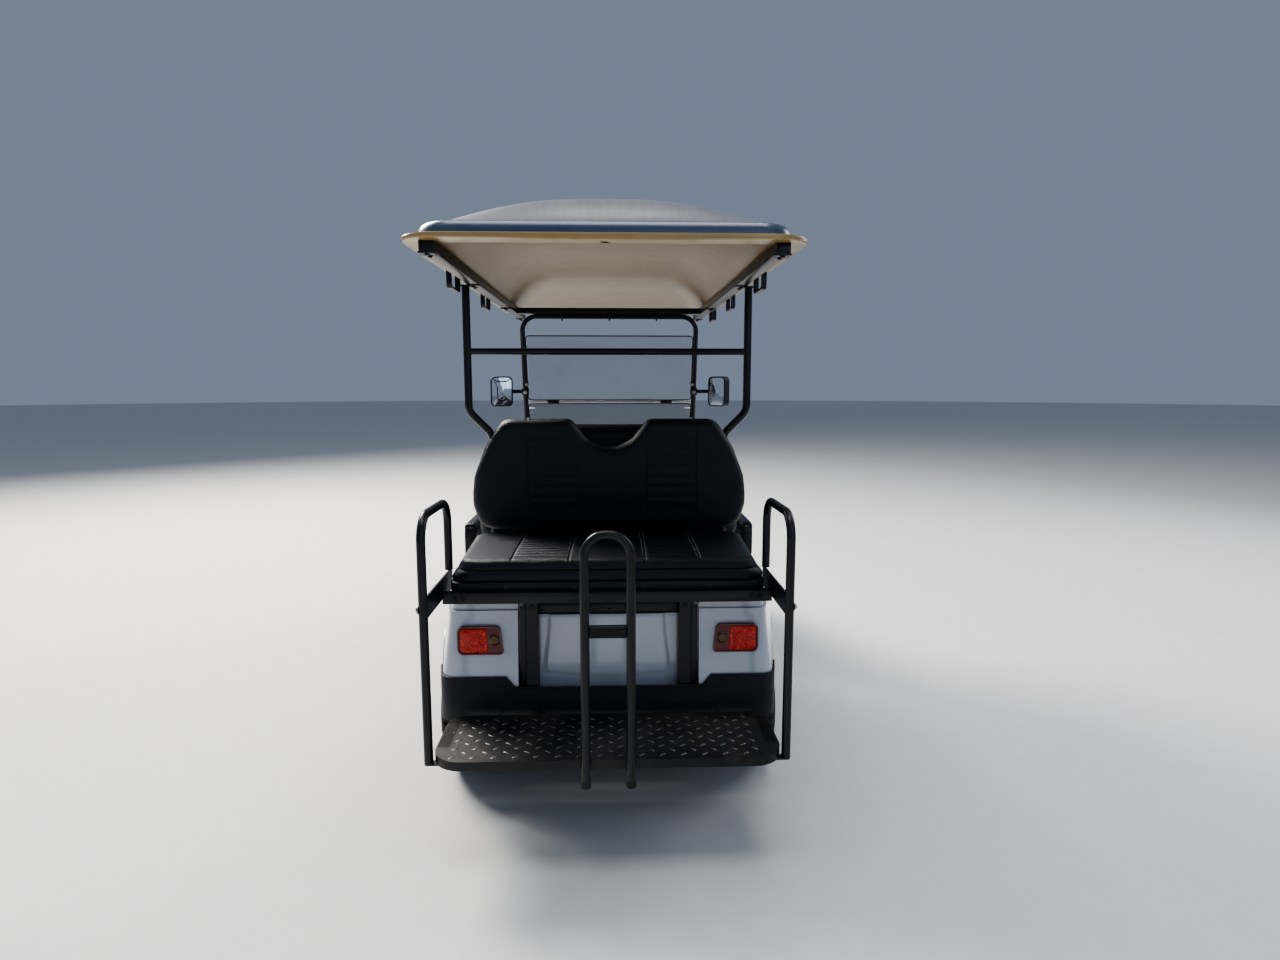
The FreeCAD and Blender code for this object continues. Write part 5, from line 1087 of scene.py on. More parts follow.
def tyre_grid(radius):
    """A tyre about the X axis: its profile turned once round, with the tread's height set by its angle."""
    side = rounded_path([(x, r, 0.0, round_) for x, r, round_ in TYRE_SIDE], 4)[:, :2]
    run = np.array(TREAD_RUN)
    turn = (np.arange(BLOCKS)[:, None] + np.array(BLOCK_STEPS)[None]).ravel() / BLOCKS * 2 * math.pi
    rows = []
    for x, r in side:
        rows.append((np.full_like(turn, x), np.full_like(turn, r)))
    for x in np.concatenate([run, -run[::-1][1:]]):
        shift = 0.5 if x < 0 else 0.0
        rows.append((np.full_like(turn, x), tread_radius(np.full_like(turn, x), turn, radius, shift)))
    for x, r in side[::-1]:
        rows.append((np.full_like(turn, -x), np.full_like(turn, r)))
    across = np.array([row[0] for row in rows])
    out = np.array([row[1] for row in rows])
    # The shoulder's upper part follows the cuts between the blocks
    top = (np.abs(across) > 0.089) & (out > 0.213)
    phase = (turn / (2 * math.pi) * BLOCKS)[None] + (across < 0) * 0.5
    cut = ((phase % 1.0 > 0.02) & (phase % 1.0 < 0.31)) * 0.0042
    out = out - np.where(top, cut * smooth((out - 0.213) / 0.006), 0)
    return xyz(across, out * np.cos(turn)[None], out * np.sin(turn)[None])


def make_tyres(radius):
    """Four tyres: crowned tread with shoulder blocks, bulging sidewalls with a raised ring and a bead."""
    grid = tyre_grid(radius)
    for place in WHEELS:
        middle, side = wheel_centre(place)
        shell = Piece("Tyre_" + place)
        points = grid * np.array([side, 1.0, 1.0]) + middle
        shell.grid(points, around_rows=True, around_cols=True)
        shell.build("TyreRubber", "wheel_" + place, "tyre_rubber", ["tyre_" + place], merge=0, sharp=28)


def make_wheel_nuts():
    """Four six-sided nuts with rounded tops, a dust cap and a valve stem on each wheel."""
    for place in WHEELS:
        middle, side = wheel_centre(place)
        parts = Piece("Wheel_nuts_" + place)
        axis = np.array([side, 0.0, 0.0])
        face = middle + axis * 0.0211
        for turn in np.arange(4) * math.pi / 2 + math.pi / 4:
            spot = face + np.array([0.0, math.cos(turn), math.sin(turn)]) * 0.0508
            hex_bolt(parts, spot, axis, 0.0105, 0.0125)
        cap = [(0.029, 0.0), (0.0295, 0.012), (0.028, 0.022), (0.022, 0.0245), (0.021, 0.027), (0.012, 0.0285),
               (0.0, 0.029)]
        profile = np.array([(0.0265 + h, r) for r, h in cap])
        parts.turn(profile, middle, axis, 32, mark=1)
        root = middle + axis * 0.04 + np.array([0.0, 0.0, 0.0905])
        stem = np.array([(-0.012, 0.0), (-0.012, 0.0055), (0.004, 0.0055), (0.006, 0.0042), (0.026, 0.004),
                         (0.0262, 0.0048), (0.034, 0.0046), (0.0352, 0.0034), (0.0354, 0.0)])
        parts.turn(stem, root, axis, 14, mark=2)
        parts.build(["BoltSteel", "RimPaint", "GripRubber"], "wheel_" + place, "rim_metal")


# Tail: lamps, access panel, bumper, footplate and the frame's fasteners

def relief(piece, u, v, w, base, origin=(0, 0, 0), up=(0, 0, 1), across=(1, 0, 0), mark=0):
    """A raised plate, origin + u * across + v * up + w * (across x up), folded back at its border to the depth
    base and closed there with a fan. As given, it faces back: u is x, v is z and w is less y."""
    across, up = np.array(across, float), np.array(up, float) / np.linalg.norm(up)
    u, v = np.pad(u, 1, mode="edge"), np.pad(v, 1, mode="edge")
    w = np.pad(w, 1, constant_values=base)
    grid = (np.array(origin, float) + u[..., None] * across + v[..., None] * up
            + w[..., None] * np.cross(across, up))
    piece.grid(grid, mark=mark)
    piece.cap(np.concatenate([grid[0, :-1], grid[:-1, -1], grid[-1, :0:-1], grid[:0:-1, 0]]), mark)


def inside_by(x, z, left, right, bottom, top):
    """How far each point lies inside a rectangle."""
    return np.minimum(np.minimum(x - left, right - x), np.minimum(z - bottom, top - z))


def shrunk(outline, amount):
    """A closed outline moved inwards along its own normals, the quarter turn of its running direction."""
    way = np.roll(outline, -1, 0) - np.roll(outline, 1, 0)
    way /= np.linalg.norm(way, axis=1, keepdims=True)
    area = (outline[:, 0] * np.roll(outline[:, 1], -1) - outline[:, 1] * np.roll(outline[:, 0], -1)).sum()
    inward = np.stack([-way[:, 1], way[:, 0]], -1) * math.copysign(1.0, area)
    return outline + inward * amount


TAIL_LAMP = (
    # x, z, round: the right lamp from behind
    (0.466, 0.507, 0.017), (0.466, 0.594, 0.017), (0.3385, 0.594, 0.017), (0.327, 0.507, 0.009),
)


def lens_dome(piece, outline, face, depth, shift=(0.0, 0.0), marks=(0, 0), border=0.08):
    """A lens over an outline: rings drawn towards its middle rise by depth times one less the square of their size."""
    middle = outline.mean(0) + np.array(shift)
    sizes = np.concatenate([[1.0, 1.0 - border * 0.3, 1.0 - border], np.linspace(1.0 - border - 0.02, 0.0, 9)])
    rise = depth * (1 - sizes ** 2)
    rise[1:] += depth * 0.8
    rows = []
    for size, lift in zip(sizes, rise):
        rows.append(standing(middle + (outline - middle) * max(size, 0.0005), face - lift))
    piece.grid(rows[:3], around_cols=True, mark=marks[0])
    piece.grid(rows[2:], around_cols=True, mark=marks[1])
    piece.cap(rows[-1], marks[1])
    back = standing(outline, face + 0.03)
    piece.grid([back, rows[0]], around_cols=True, mark=marks[0])
    piece.cap(back, marks[0])


def make_tail_lamps():
    """Tail lamps: a pale bezel, a dark red surround, a prismatic red lens, and a round amber lens beside it."""
    low, high = low_high("tail_lamps")
    lamps = Piece("Tail_lamps")
    for side in (-1, 1):
        mirror = np.array([side, 1.0])
        outline = rounded_polygon(TAIL_LAMP, 6)[::side] * mirror
        face = low[1]
        lens_dome(lamps, shrunk(outline, 0.0005), face, 0.0012, marks=(1, 1))
        bezel = np.array([(0.003, 0.001), (0.003, -0.003), (0.0015, -0.0048), (-0.0012, -0.0048),
                          (-0.0022, -0.003), (-0.0022, 0.001)])
        lamps.bead(standing(outline, face), bezel, (0, 1, 0), mark=3)
        red = rounded_polygon(((0.46, 0.513, 0.012), (0.46, 0.588, 0.012), (0.379, 0.588, 0.006),
                               (0.374, 0.513, 0.006)), 5)[::side] * mirror
        lens_dome(lamps, red, face - 0.0015, 0.0035, marks=(0, 0), border=0.06)
        for x, z, radius, mark in ((0.354, 0.5527, 0.0185, 2), (0.354, 0.5527, 0.015, 4)):
            spot = (side * x, face - 0.001, z)
            dome = [(0.0, radius), (0.0024, radius), (0.0032, radius * 0.93), (0.004, radius * 0.6),
                    (0.0046, radius * 0.25), (0.0048, 0.0)]
            if mark == 4:
                dome = [(0.003, radius), (0.0056, radius * 0.9), (0.0068, radius * 0.5), (0.0072, 0.0)]
            lamps.turn(dome, spot, (0, -1, 0), 28, mark=mark)
    lamps.build(["LampRed", "LampRedDeep", "LampRing", "LampBezel", "LampAmber"], "chassis", "red_lens",
                ["tail_lamps"], sharp=45)


def make_access_panel(rise):
    """Access panel: a raised field with soft slopes that widens at its foot, over two set-back flanks."""
    low, high = low_high("rear_access_panel")
    x, z = np.meshgrid(spread(low[0], high[0], 0.006, (-0.19, 0.184), 0.024, 0.0024),
                       spread(low[2], high[2], 0.006, (0.424,), 0.018, 0.0022))
    foot = smooth((0.6 - z) / 0.16) * 0.014
    inside = smooth((x + 0.196 + foot) / 0.02) * smooth((0.184 + foot - x) / 0.02)
    inside = inside * smooth((z - 0.41 - 0.012 * (np.abs(x) / 0.19) ** 2) / 0.018)
    edge = inside_by(x, z, low[0], high[0], low[2], high[2])
    y = low[1] - rise * inside + 0.002 * (1 - smooth(edge / 0.003))
    panel = Piece("Access_panel")
    relief(panel, x, z, -y, -high[1])
    panel.build("BodyGloss", "chassis", "body_panel", ["rear_access_panel"])
    strip = Piece("Access_panel_strip")
    x, z = np.meshgrid(np.linspace(-0.256, 0.256, 40), spread(0.6205, 0.659, 0.008))
    edge = inside_by(x, z, -0.256, 0.256, 0.6205, 0.659)
    y = low[1] - 0.0025 * smooth(edge / 0.003) - 0.0003
    relief(strip, x, z, -y, 0.0001 - high[1])
    for spot in (0.0008, 0.208, -0.208):
        hex_bolt(strip, (spot, low[1] - 0.0027, 0.632), (0, -1, 0), 0.0052, 0.0042)
    strip.build("FramePaint", "chassis", "frame_steel")


def make_bumper_trim():
    """Rear bumper: a rolled lip along its stepped top, and a lipped frame round each of its two hollows."""
    low, high = low_high("rear_bumper")
    trim = Piece("Rear_bumper_trim")
    corner_x, face, front = 0.5199, -1.0276, -0.91
    top, step = high[2] - 0.0005, 0.4
    half = [(0.5458, front, top), (corner_x, face, top, 0.05), (0.319, face, top, 0.004), (0.291, face, step, 0.01)]
    other = [(-row[0],) + row[1:] for row in reversed(half)]
    path = rounded_path(half + other, 8)
    path[:, 1] += 0.0034
    path[:, 0] *= 1 - 0.003 / 0.54 * (np.abs(path[:, 0]) > 0.45)
    trim.tube(along(path, ring(0.0038, 10), (0, 0, 1)))
    for side in (-1, 1):
        frame_line = rounded_polygon(((0.044, 0.302, 0.006), (0.222, 0.302, 0.01), (0.222, 0.345, 0.012),
                                      (0.15, 0.362, 0.06), (0.044, 0.366, 0.006)), 5)[::side] * np.array([side, 1])
        path = standing(frame_line, low[1] + 0.0006)
        bead = np.array([(0.0022, 0.001), (0.0016, -0.001), (0.0, -0.0016), (-0.0016, -0.001), (-0.0022, 0.001)])
        trim.bead(path, bead, (0, 1, 0))
    arch = [(-0.344, 0.3), (-0.341, 0.331, 0.02), (-0.311, 0.353, 0.05), (-0.244, 0.371, 0.06)]
    arch += [(-x, z) + tuple(rest) for x, z, *rest in reversed(arch)]
    line = rounded_path([(row[0], low[1] - 0.0002, row[1]) + tuple(row[2:]) for row in arch], 6)
    trim.tube(along(line, ring(0.0017, 8), (0, 1, 0)))
    trim.build("BlackPlastic", "chassis", "black_plastic")


def make_footplate_tread(pitch, size):
    """Tread plate: pointed domes, eight-sided in plan, in staggered rows that lean left and right by turns."""
    low, high = low_high("footplate")
    top = high[2]
    tread = Piece("Footplate_tread")
    across = np.arange(-0.43, 0.425, pitch)
    deep = np.arange(low[1] + 0.026, high[1] - 0.014, pitch * 0.44)
    gx, gy = np.meshgrid(across, deep)
    row = np.broadcast_to(np.arange(len(deep))[:, None], gx.shape)
    gx = gx + (row % 2) * pitch * 0.5
    lean = np.where(row % 2 == 0, 0.62, -0.62)
    # Corners of the plate are round: a lozenge stays clear of them
    rear = low[1] + 0.085
    reach = np.hypot(np.abs(gx) - (high[0] - 0.085), rear - gy)
    clear = ~((np.abs(gx) > high[0] - 0.085) & (gy < rear) & (reach > 0.07)) & (np.abs(gx) < high[0] - 0.02)
    clear &= ~((gy > high[1] - 0.045) & (np.abs(gx) > high[0] - 0.06))
    gx, gy, lean = gx[clear], gy[clear], lean[clear]
    angle = np.arange(8) / 8 * 2 * math.pi
    base = np.stack([np.cos(angle) * size * (0.75 + 0.25 * np.abs(np.cos(angle))), np.sin(angle) * size * 0.34], -1)
    rings = []
    for share, height in ((1.0, -0.0002), (0.72, 0.0012), (0.3, 0.0017)):
        x = base[:, 0] * share
        y = base[:, 1] * share
        px = gx[:, None] + x * np.cos(lean)[:, None] - y * np.sin(lean)[:, None]
        py = gy[:, None] + x * np.sin(lean)[:, None] + y * np.cos(lean)[:, None]
        rings.append(xyz(px, py, top + height))
    peak = xyz(gx, gy, top + 0.0018)[:, None]
    points = np.concatenate(rings + [peak], 1)
    order = np.arange(8)
    after = (order + 1) % 8
    sides = np.concatenate([np.stack([order + k * 8, after + k * 8, after + k * 8 + 8, order + k * 8 + 8], -1)
                            for k in (0, 1)])
    caps = np.stack([order + 16, after + 16, np.full(8, 24), np.full(8, 24)], -1)
    under = np.array([[7, 6, 5, 4], [7, 4, 3, 0], [3, 2, 1, 0]])
    faces = np.concatenate([sides, caps, under])
    start = np.arange(len(points))[:, None, None] * 25
    quads = (faces[None] + start).reshape(-1, 4)
    tread.points.append(points.reshape(-1, 3))
    tread.faces += [list(dict.fromkeys(face)) for face in quads.tolist()]
    tread.marks += [0] * len(quads)
    tread.count += len(points) * 25
    # The lozenges take a lighter steel than the plate: wear and a painted highlight
    tread.build("WornSteel", "chassis", "tread_plate", merge=0, outward=True, sharp=60)
    strips = Piece("Footplate_edges")
    for side in (-1, 1):
        line = np.array([(side * 0.466, low[1] + 0.088, top), (side * 0.466, high[1] - 0.03, top)])
        line = resample_line(line, 24)
        half = np.array([(0.017, 0.0), (0.0165, 0.0018), (0.015, 0.003), (-0.015, 0.003), (-0.0165, 0.0018),
                         (-0.017, 0.0)])[:, ::-1] * np.array([1, side])
        strips.tube(along(line, half, (1, 0, 0)))
    strips.build("TreadPlate", "chassis", "tread_plate")


def make_frame_fixings():
    """Bolts of the rear seat frame, screws of its board, and the ribbed tread on the grab bar."""
    parts = Piece("Seat_frame_bolts")
    for side in (-1, 1):
        for y in (-1.281, -0.953):
            hex_bolt(parts, (side * 0.5124, y, 0.731), (side, 0, 0), 0.0078, 0.0068, mark=1)
        for y in (-1.12, -1.06):
            hex_bolt(parts, (side * 0.4999, y, 0.742), (side, 0, 0), 0.007, 0.006, mark=1)
        for z in (0.318, 0.655):
            hex_bolt(parts, (side * 0.2375, -1.0141, z), (0, -1, 0), 0.0075, 0.0062)
        for x in (0.31, 0.105):
            hex_bolt(parts, (side * x, -1.0391, 0.7255), (0, -1, 0), 0.0048, 0.0036)
        for x in (0.44, 0.462):
            hex_bolt(parts, (side * x, -1.0601, 0.697), (0, -1, 0), 0.0062, 0.005)
        # A thin black strip over the recess's side wall beside each post: painted shade in the recess
        x, z = np.meshgrid(side * np.linspace(0.2562, 0.276, 8), np.linspace(0.406, 0.656, 60))
        edge = inside_by(abs(x), z, 0.2562, 0.276, 0.406, 0.656)
        relief(parts, x, z, 1.0085 + 0.0012 * smooth(edge / 0.002), 1.005)
    parts.build(["FramePaint", "BoltSteel"], "chassis", "frame_steel")
    low, high = low_high("grab_bar")
    step = Piece("Grab_bar_tread")
    x, z = np.meshgrid(np.linspace(-0.049, 0.049, 20), np.linspace(0.6715, 0.7035, 49))
    edge = inside_by(x, z, -0.049, 0.049, 0.6715, 0.7035)
    wave = 0.5 + 0.5 * np.cos((z - 0.6875) / 0.0064 * 2 * math.pi)
    y = -1.351 - 0.0018 * smooth(edge / 0.002) - 0.002 * smooth(wave * 1.6 - 0.3) * smooth(edge / 0.003)
    relief(step, x, z, -y, 1.3506)
    for x in (-0.036, 0.036):
        hex_bolt(step, (x, -1.3525, 0.6875), (0, -1, 0), 0.005, 0.0042)
    for side in (-1, 1):
        foot = [(0.0, 0.0), (0.0, 0.0138), (0.016, 0.014), (0.018, 0.0128)]
        spot = (side * 0.0615, -1.3478, low[2] + 0.0002)
        step.turn(foot, spot, (0, 0, 1), 20, mark=1)
    step.build(["FramePaint", "GripRubber"], "chassis", "frame_steel")


# Windshield trim, mirrors

SCREEN_LEAN = math.radians(15)


def on_screen(x, z, out=0.0):
    """A point of the windshield's middle plane, y 0.881 less the tangent of the lean times the height over 0.8,
    moved out along the plane's forward normal."""
    y = 0.881 - math.tan(SCREEN_LEAN) * (z - 0.8)
    return np.array([x, y + out * math.cos(SCREEN_LEAN), z + out * math.sin(SCREEN_LEAN)])


def make_screen_trim():
    """Windshield trim: a bright hinge bar across the middle with its two knuckles, a black edging round each half, and
    clips on the hoop."""
    low, high = low_high("windshield")
    trim = Piece("Windshield_trim")
    normal = np.array([0.0, math.cos(SCREEN_LEAN), math.sin(SCREEN_LEAN)])
    half = high[0] - 0.0006
    seam = 1.245
    bar = rounded_box(0.011, 0.024, 0.003)
    ends = np.array([on_screen(-half, seam), on_screen(half, seam)])
    trim.tube(along(ends, bar, normal), mark=0)
    edging = rounded_box(0.0042, 0.0105, 0.0016)
    for bottom, top in ((low[2] + 0.004, seam - 0.01), (seam + 0.01, high[2] - 0.004)):
        corners = [(-half, bottom), (-half, top), (half, top), (half, bottom)]
        loop = rounded_path([tuple(on_screen(0.0, bottom))] + [tuple(on_screen(x, z)) + (0.018,) for x, z in corners]
                            + [tuple(on_screen(0.0, bottom))], 5)[:-1]
        trim.bead(loop, edging, normal, mark=1)
    for x in (-0.3, 0.3):
        knuckle = [(-0.03, 0.0), (-0.03, 0.0075), (-0.028, 0.0085), (0.028, 0.0085), (0.03, 0.0075), (0.03, 0.0)]
        trim.turn(knuckle, on_screen(x, seam, -0.006), (1, 0, 0), 16, mark=2)
    for side in (-1, 1):
        for z in (0.93, 1.16, 1.34, 1.52):
            spot = on_screen(side * (half + 0.004), z)
            strap = rounded_box(0.03, 0.016, 0.004)
            path = np.array([spot - normal * 0.016, spot + normal * 0.016])
            trim.tube(along(path, strap, (1, 0, 0)), mark=2)
            hex_bolt(trim, spot - normal * 0.0158, -normal, 0.005, 0.0045, mark=3)
    trim.build(["ScreenEdge", "GripRubber", "FramePaint", "BoltSteel"], "chassis", "frame_steel")


MIRRORS = (
    # side, turn about the upright, middle of the shell's rear face
    (-1, 8.0, (-0.562, 0.685, 1.3)),
    (1, -48.0, (0.562, 0.685, 1.3)),
)


def make_mirrors():
    """Mirrors: a convex glass in a rolled rim on the back of each housing, and a round clamp on the hoop."""
    parts = Piece("Mirror_glasses")
    outline = rounded_box(0.114, 0.156, 0.024, 5)
    for side, turn, middle in MIRRORS:
        angle = math.radians(turn)
        right = np.array([math.cos(angle), math.sin(angle), 0.0])
        back = np.array([math.sin(angle), -math.cos(angle), 0.0])
        up = np.array([0.0, 0.0, 1.0])
        middle = np.array(middle)

        def place(flat, out):
            return middle + flat[:, :1] * right + flat[:, 1:] * up + back * out

        sizes = np.array([1.0, 0.8, 0.6, 0.4, 0.2, 0.001])
        inner = shrunk(outline, 0.0065)
        rows = [place(inner * size, 0.0022 + 0.0022 * (1 - size ** 2)) for size in sizes]
        rows.insert(0, place(inner, -0.001))
        parts.grid(rows, around_cols=True, mark=0)
        parts.cap(rows[-1], 0)
        bead = np.array([(0.004, 0.002), (0.004, -0.003), (0.0015, -0.0055), (-0.0015, -0.0055),
                         (-0.0032, -0.003), (-0.0032, 0.002)])
        rim = along(place(shrunk(outline, 0.0032), 0.0), bead, -back, closed=True)
        parts.grid(rim, around_rows=True, around_cols=True, mark=1)
        clamp = [(-0.02, 0.0), (-0.02, 0.0165), (-0.017, 0.019), (0.017, 0.019), (0.02, 0.0165), (0.02, 0.0)]
        lean = np.array([0.0, -math.sin(SCREEN_LEAN), math.cos(SCREEN_LEAN)])
        parts.turn(clamp, on_screen(side * 0.446, 1.3), lean, 24, mark=1)
        hex_bolt(parts, on_screen(side * 0.446, 1.3, -0.0185), (0, -math.cos(SCREEN_LEAN), -math.sin(SCREEN_LEAN)),
                 0.0065, 0.0055, mark=2)
    parts.build(["MirrorGlass", "BlackPlastic", "BoltSteel"], "chassis", "black_plastic")


# Front: lamps, dashboard, steering wheel, pedals, mat, hip pads and trims

def rectangle_grid(u0, u1, v0, v1, step, radius):
    """A grid with rounded corners and how far each of its points lies from its border."""
    u, v = corner_grid(spread(u0, u1, step), spread(v0, v1, step), radius)
    away = outline_distance(np.stack([u.ravel(), v.ravel()], -1), border(np.stack([u, v], -1)))
    return u, v, away.reshape(u.shape)


HEAD_LAMP = ((0.4, 0.49, 0.024), (0.4, 0.556, 0.03), (0.262, 0.546, 0.02), (0.278, 0.478, 0.02))


def make_head_lamps():
    """Head lamps: a black shell with a bright bowl, z = depth * (1 - size squared), a bulb, and a clear cover."""
    lamps = Piece("Head_lamps")
    for side in (-1, 1):
        outline = rounded_polygon(HEAD_LAMP, 6)[::side] * np.array([side, 1.0])
        middle = outline.mean(0)

        def row(size, y):
            return standing(middle + (outline - middle) * size, y)

        outer = [row(size, y) for size, y in ((0.3, 1.248), (0.62, 1.2485), (0.86, 1.285), (0.975, 1.316),
                                              (0.99, 1.33))]
        lamps.grid(outer, around_cols=True, mark=0)
        lamps.cap(outer[0], 0)
        sizes = np.linspace(0.93, 0.16, 12)
        bowl = [row(size, 1.329 - 0.066 * (1 - (size / 0.93) ** 2)) for size in sizes]
        lamps.grid([outer[-1], row(0.955, 1.3302), bowl[0]], around_cols=True, mark=0)
        lamps.grid(bowl, around_cols=True, mark=1)
        lamps.cap(bowl[-1], 1)
        bulb = [(0.0, 0.0), (0.0, 0.01), (0.018, 0.01), (0.024, 0.0085), (0.03, 0.005), (0.032, 0.0)]
        lamps.turn(bulb, (middle[0], 1.2635, middle[1]), (0, 1, 0), 20, mark=3)
        cover = [row(0.985, 1.3303), row(0.985, 1.3318), row(0.96, 1.3334)]
        cover += [row(size, 1.3334 + 0.0022 * (1 - (size / 0.93) ** 2)) for size in np.linspace(0.93, 0.001, 9)]
        lamps.grid(cover, around_cols=True, mark=2)
        inner = [row(size, 1.3303 + 0.002 * (1 - (size / 0.95) ** 2)) for size in np.linspace(0.95, 0.001, 9)]
        lamps.grid([cover[0]] + inner, around_cols=True, mark=2)
        gasket = np.array([(0.003, -0.0006), (0.0026, 0.0016), (0.0, 0.0024), (-0.0026, 0.0016), (-0.003, -0.0006)])
        path = standing(outline, 1.3352)
        lamps.bead(path, gasket, (0, 1, 0), mark=0)
    lamps.build(["BlackPlastic", "LampChrome", "LampClear", "LampBulb"],
                "chassis", "clear_lens", ["head_lamps"], merge=2e-6, sharp=45)


def make_dash_fittings():
    """Dashboard: glove-box door with its latch, switch plate with key, lever and charge gauge, and a column boot."""
    parts = Piece("Dash_fittings")
    foot, lean = (0.0, 0.6452, 0.5833), (0, -0.05, 0.1628)
    u, v, away = rectangle_grid(0.12, 0.43, 0.046, 0.15, 0.006, 0.016)
    relief(parts, u, v, 0.0045 * smooth(away / 0.005) - 0.0012 * bump(away - 0.013, 0.003), -0.001, foot, lean)
    u, v, away = rectangle_grid(0.252, 0.298, 0.126, 0.142, 0.003, 0.005)
    relief(parts, u, v, 0.0045 + 0.0042 * smooth(away / 0.004), 0.004, foot, lean)
    u, v, away = rectangle_grid(-0.15, 0.06, 0.052, 0.15, 0.005, 0.012)
    relief(parts, u, v, 0.003 * smooth(away / 0.003), -0.001, foot, lean)
    turn = np.array(lean) / np.linalg.norm(lean)
    out = np.cross((1, 0, 0), turn)

    def spot(u, v, w=0.003):
        return np.array(foot) + np.array([u, 0, 0]) + turn * v + out * w

    dial = [(0.0, 0.0), (0.0, 0.027), (0.006, 0.027), (0.008, 0.0255), (0.008, 0.0235), (0.005, 0.0228)]
    parts.turn(dial, spot(-0.1, 0.105), out, 40, mark=0)
    face = [(0.0052, 0.023), (0.0054, 0.012), (0.0055, 0.0)]
    parts.turn(face, spot(-0.1, 0.105), out, 40, mark=1)
    for angle in np.radians(np.arange(-60, 61, 20)):
        along_dial = np.array([math.sin(angle), 0, 0]) + turn * math.cos(angle)
        mark = np.array([spot(-0.1, 0.105, 0.009) + along_dial * r for r in (0.015, 0.02)])
        parts.tube(along(mark, ring(0.0006, 6), out), mark=2)
    needle = np.array([spot(-0.1, 0.105, 0.0095), spot(-0.088, 0.118, 0.0095)])
    parts.tube(along(needle, ring(0.0008, 6), out), mark=3)
    key = [(0.0, 0.015), (0.004, 0.0145), (0.0048, 0.012), (0.0048, 0.0095), (0.009, 0.009), (0.0095, 0.008),
           (0.0095, 0.0)]
    parts.turn(key, spot(-0.038, 0.105), out, 28, mark=2)
    u, v, away = rectangle_grid(-0.013, 0.013, -0.0035, 0.0035, 0.0014, 0.003)
    relief(parts, u, v, 0.02 * smooth(away / 0.0016), 0.0, spot(-0.038, 0.105, 0.011), lean)
    u, v, away = rectangle_grid(-0.014, 0.014, -0.024, 0.024, 0.003, 0.006)
    relief(parts, u, v, 0.0035 * smooth(away / 0.003) + 0.005 * smooth(away / 0.009) * smooth(0.5 + v / 0.03), 0.0,
           spot(0.022, 0.104, 0.002), lean)
    for u0, v0 in ((-0.14, 0.06), (0.05, 0.06), (-0.14, 0.142), (0.05, 0.142)):
        hex_bolt(parts, spot(u0, v0, 0.0026), out, 0.0034, 0.0022, mark=2)
    middle = STEERING_WHEEL - COLUMN_AXIS * 0.279
    fold = np.linspace(-0.03, 0.036, 34)
    boot = np.stack([fold, 0.0265 + (0.036 - fold) * 0.34 + 0.003 * np.cos(fold / 0.011 * 2 * math.pi)], -1)
    boot = np.concatenate([[(fold[0], 0.0225)], boot, [(fold[-1] + 0.001, 0.0225)]])
    parts.turn(boot, middle, COLUMN_AXIS, 36)
    parts.build(["DashPlastic", "DialFace", "BoltSteel", "Needle"], "chassis", "black_plastic", merge=2e-6)


def make_wheel_trim():
    """Steering wheel: a domed hub cap with screws, and four grips, (R + r cos a) about the axis with r in waves."""
    axis, centre = COLUMN_AXIS, STEERING_WHEEL
    first, second = np.array([1.0, 0, 0]), np.cross(axis, (1.0, 0, 0))
    trim = Piece("Steering_wheel_trim")
    cap = [(-0.006, 0.0425), (-0.002, 0.0446), (0.002, 0.044), (0.005, 0.0405), (0.0068, 0.033),
           (0.006, 0.03), (0.0078, 0.0265), (0.0092, 0.013), (0.0096, 0.0)]
    trim.turn(cap, centre - axis * 0.002, axis, 48, mark=0)
    for start in (18, 108, 198, 288):
        phi = np.radians(start + np.linspace(0, 54, 73))[:, None]
        theta = np.arange(18)[None] / 18 * 2 * math.pi
        t = np.linspace(0, 1, 73)[:, None]
        r = 0.0133 + 0.0014 * smooth(np.minimum(t, 1 - t) / 0.03) + 0.0008 * np.abs(np.sin(t * 8 * math.pi))
        reach = 0.172 + r * np.cos(theta)
        points = (centre + (reach * np.cos(phi))[..., None] * first + (reach * np.sin(phi))[..., None] * second
                  + (r * np.sin(theta))[..., None] * axis)
        trim.tube(points, mark=1)
    for angle in np.radians((90, 210, 330)):
        way = first * math.cos(angle) + second * math.sin(angle)
        hex_bolt(trim, centre + way * 0.036 + axis * 0.0028, axis, 0.0036, 0.003, mark=2)
    trim.build(["DashPlastic", "GripRubber", "BoltSteel"], "helm", "black_plastic", merge=2e-6)


def make_pedal_pads():
    """Pedals: rubber pads with ribs, a cosine of the height raised to a flat-topped wave."""
    pads = Piece("Pedal_pads")
    for x in (-0.198, -0.068):
        u, v, away = rectangle_grid(-0.0345, 0.0345, 0.003, 0.102, 0.0022, 0.008)
        wave = smooth(0.5 + 1.2 * np.cos((v - 0.052) / 0.0135 * 2 * math.pi))
        relief(pads, u, v, 0.0032 * smooth(away / 0.002) + 0.0026 * wave * smooth((away - 0.005) / 0.003), -0.0004,
               (x, 0.572, 0.367), (0, 0.042, 0.096))
    pads.build("GripRubber", "chassis", "black_plastic")


def make_floor_mat():
    """Floor mat: a raised border round ribs that run across."""
    mat = Piece("Floor_mats")
    u, v, away = rectangle_grid(-0.5, 0.5, 0.085, 0.54, 0.005, 0.02)
    wave = smooth(0.5 + 1.1 * np.cos(v / 0.02 * 2 * math.pi)) * smooth((away - 0.018) / 0.006)
    relief(mat, u, v, 0.003 * smooth(away / 0.003) + 0.002 * bump(away - 0.008, 0.005) + 0.0024 * wave, -0.0002,
           (0, 0, 0.327), (0, 1, 0))
    mat.build("FloorRubber", "chassis", "floor_mat")


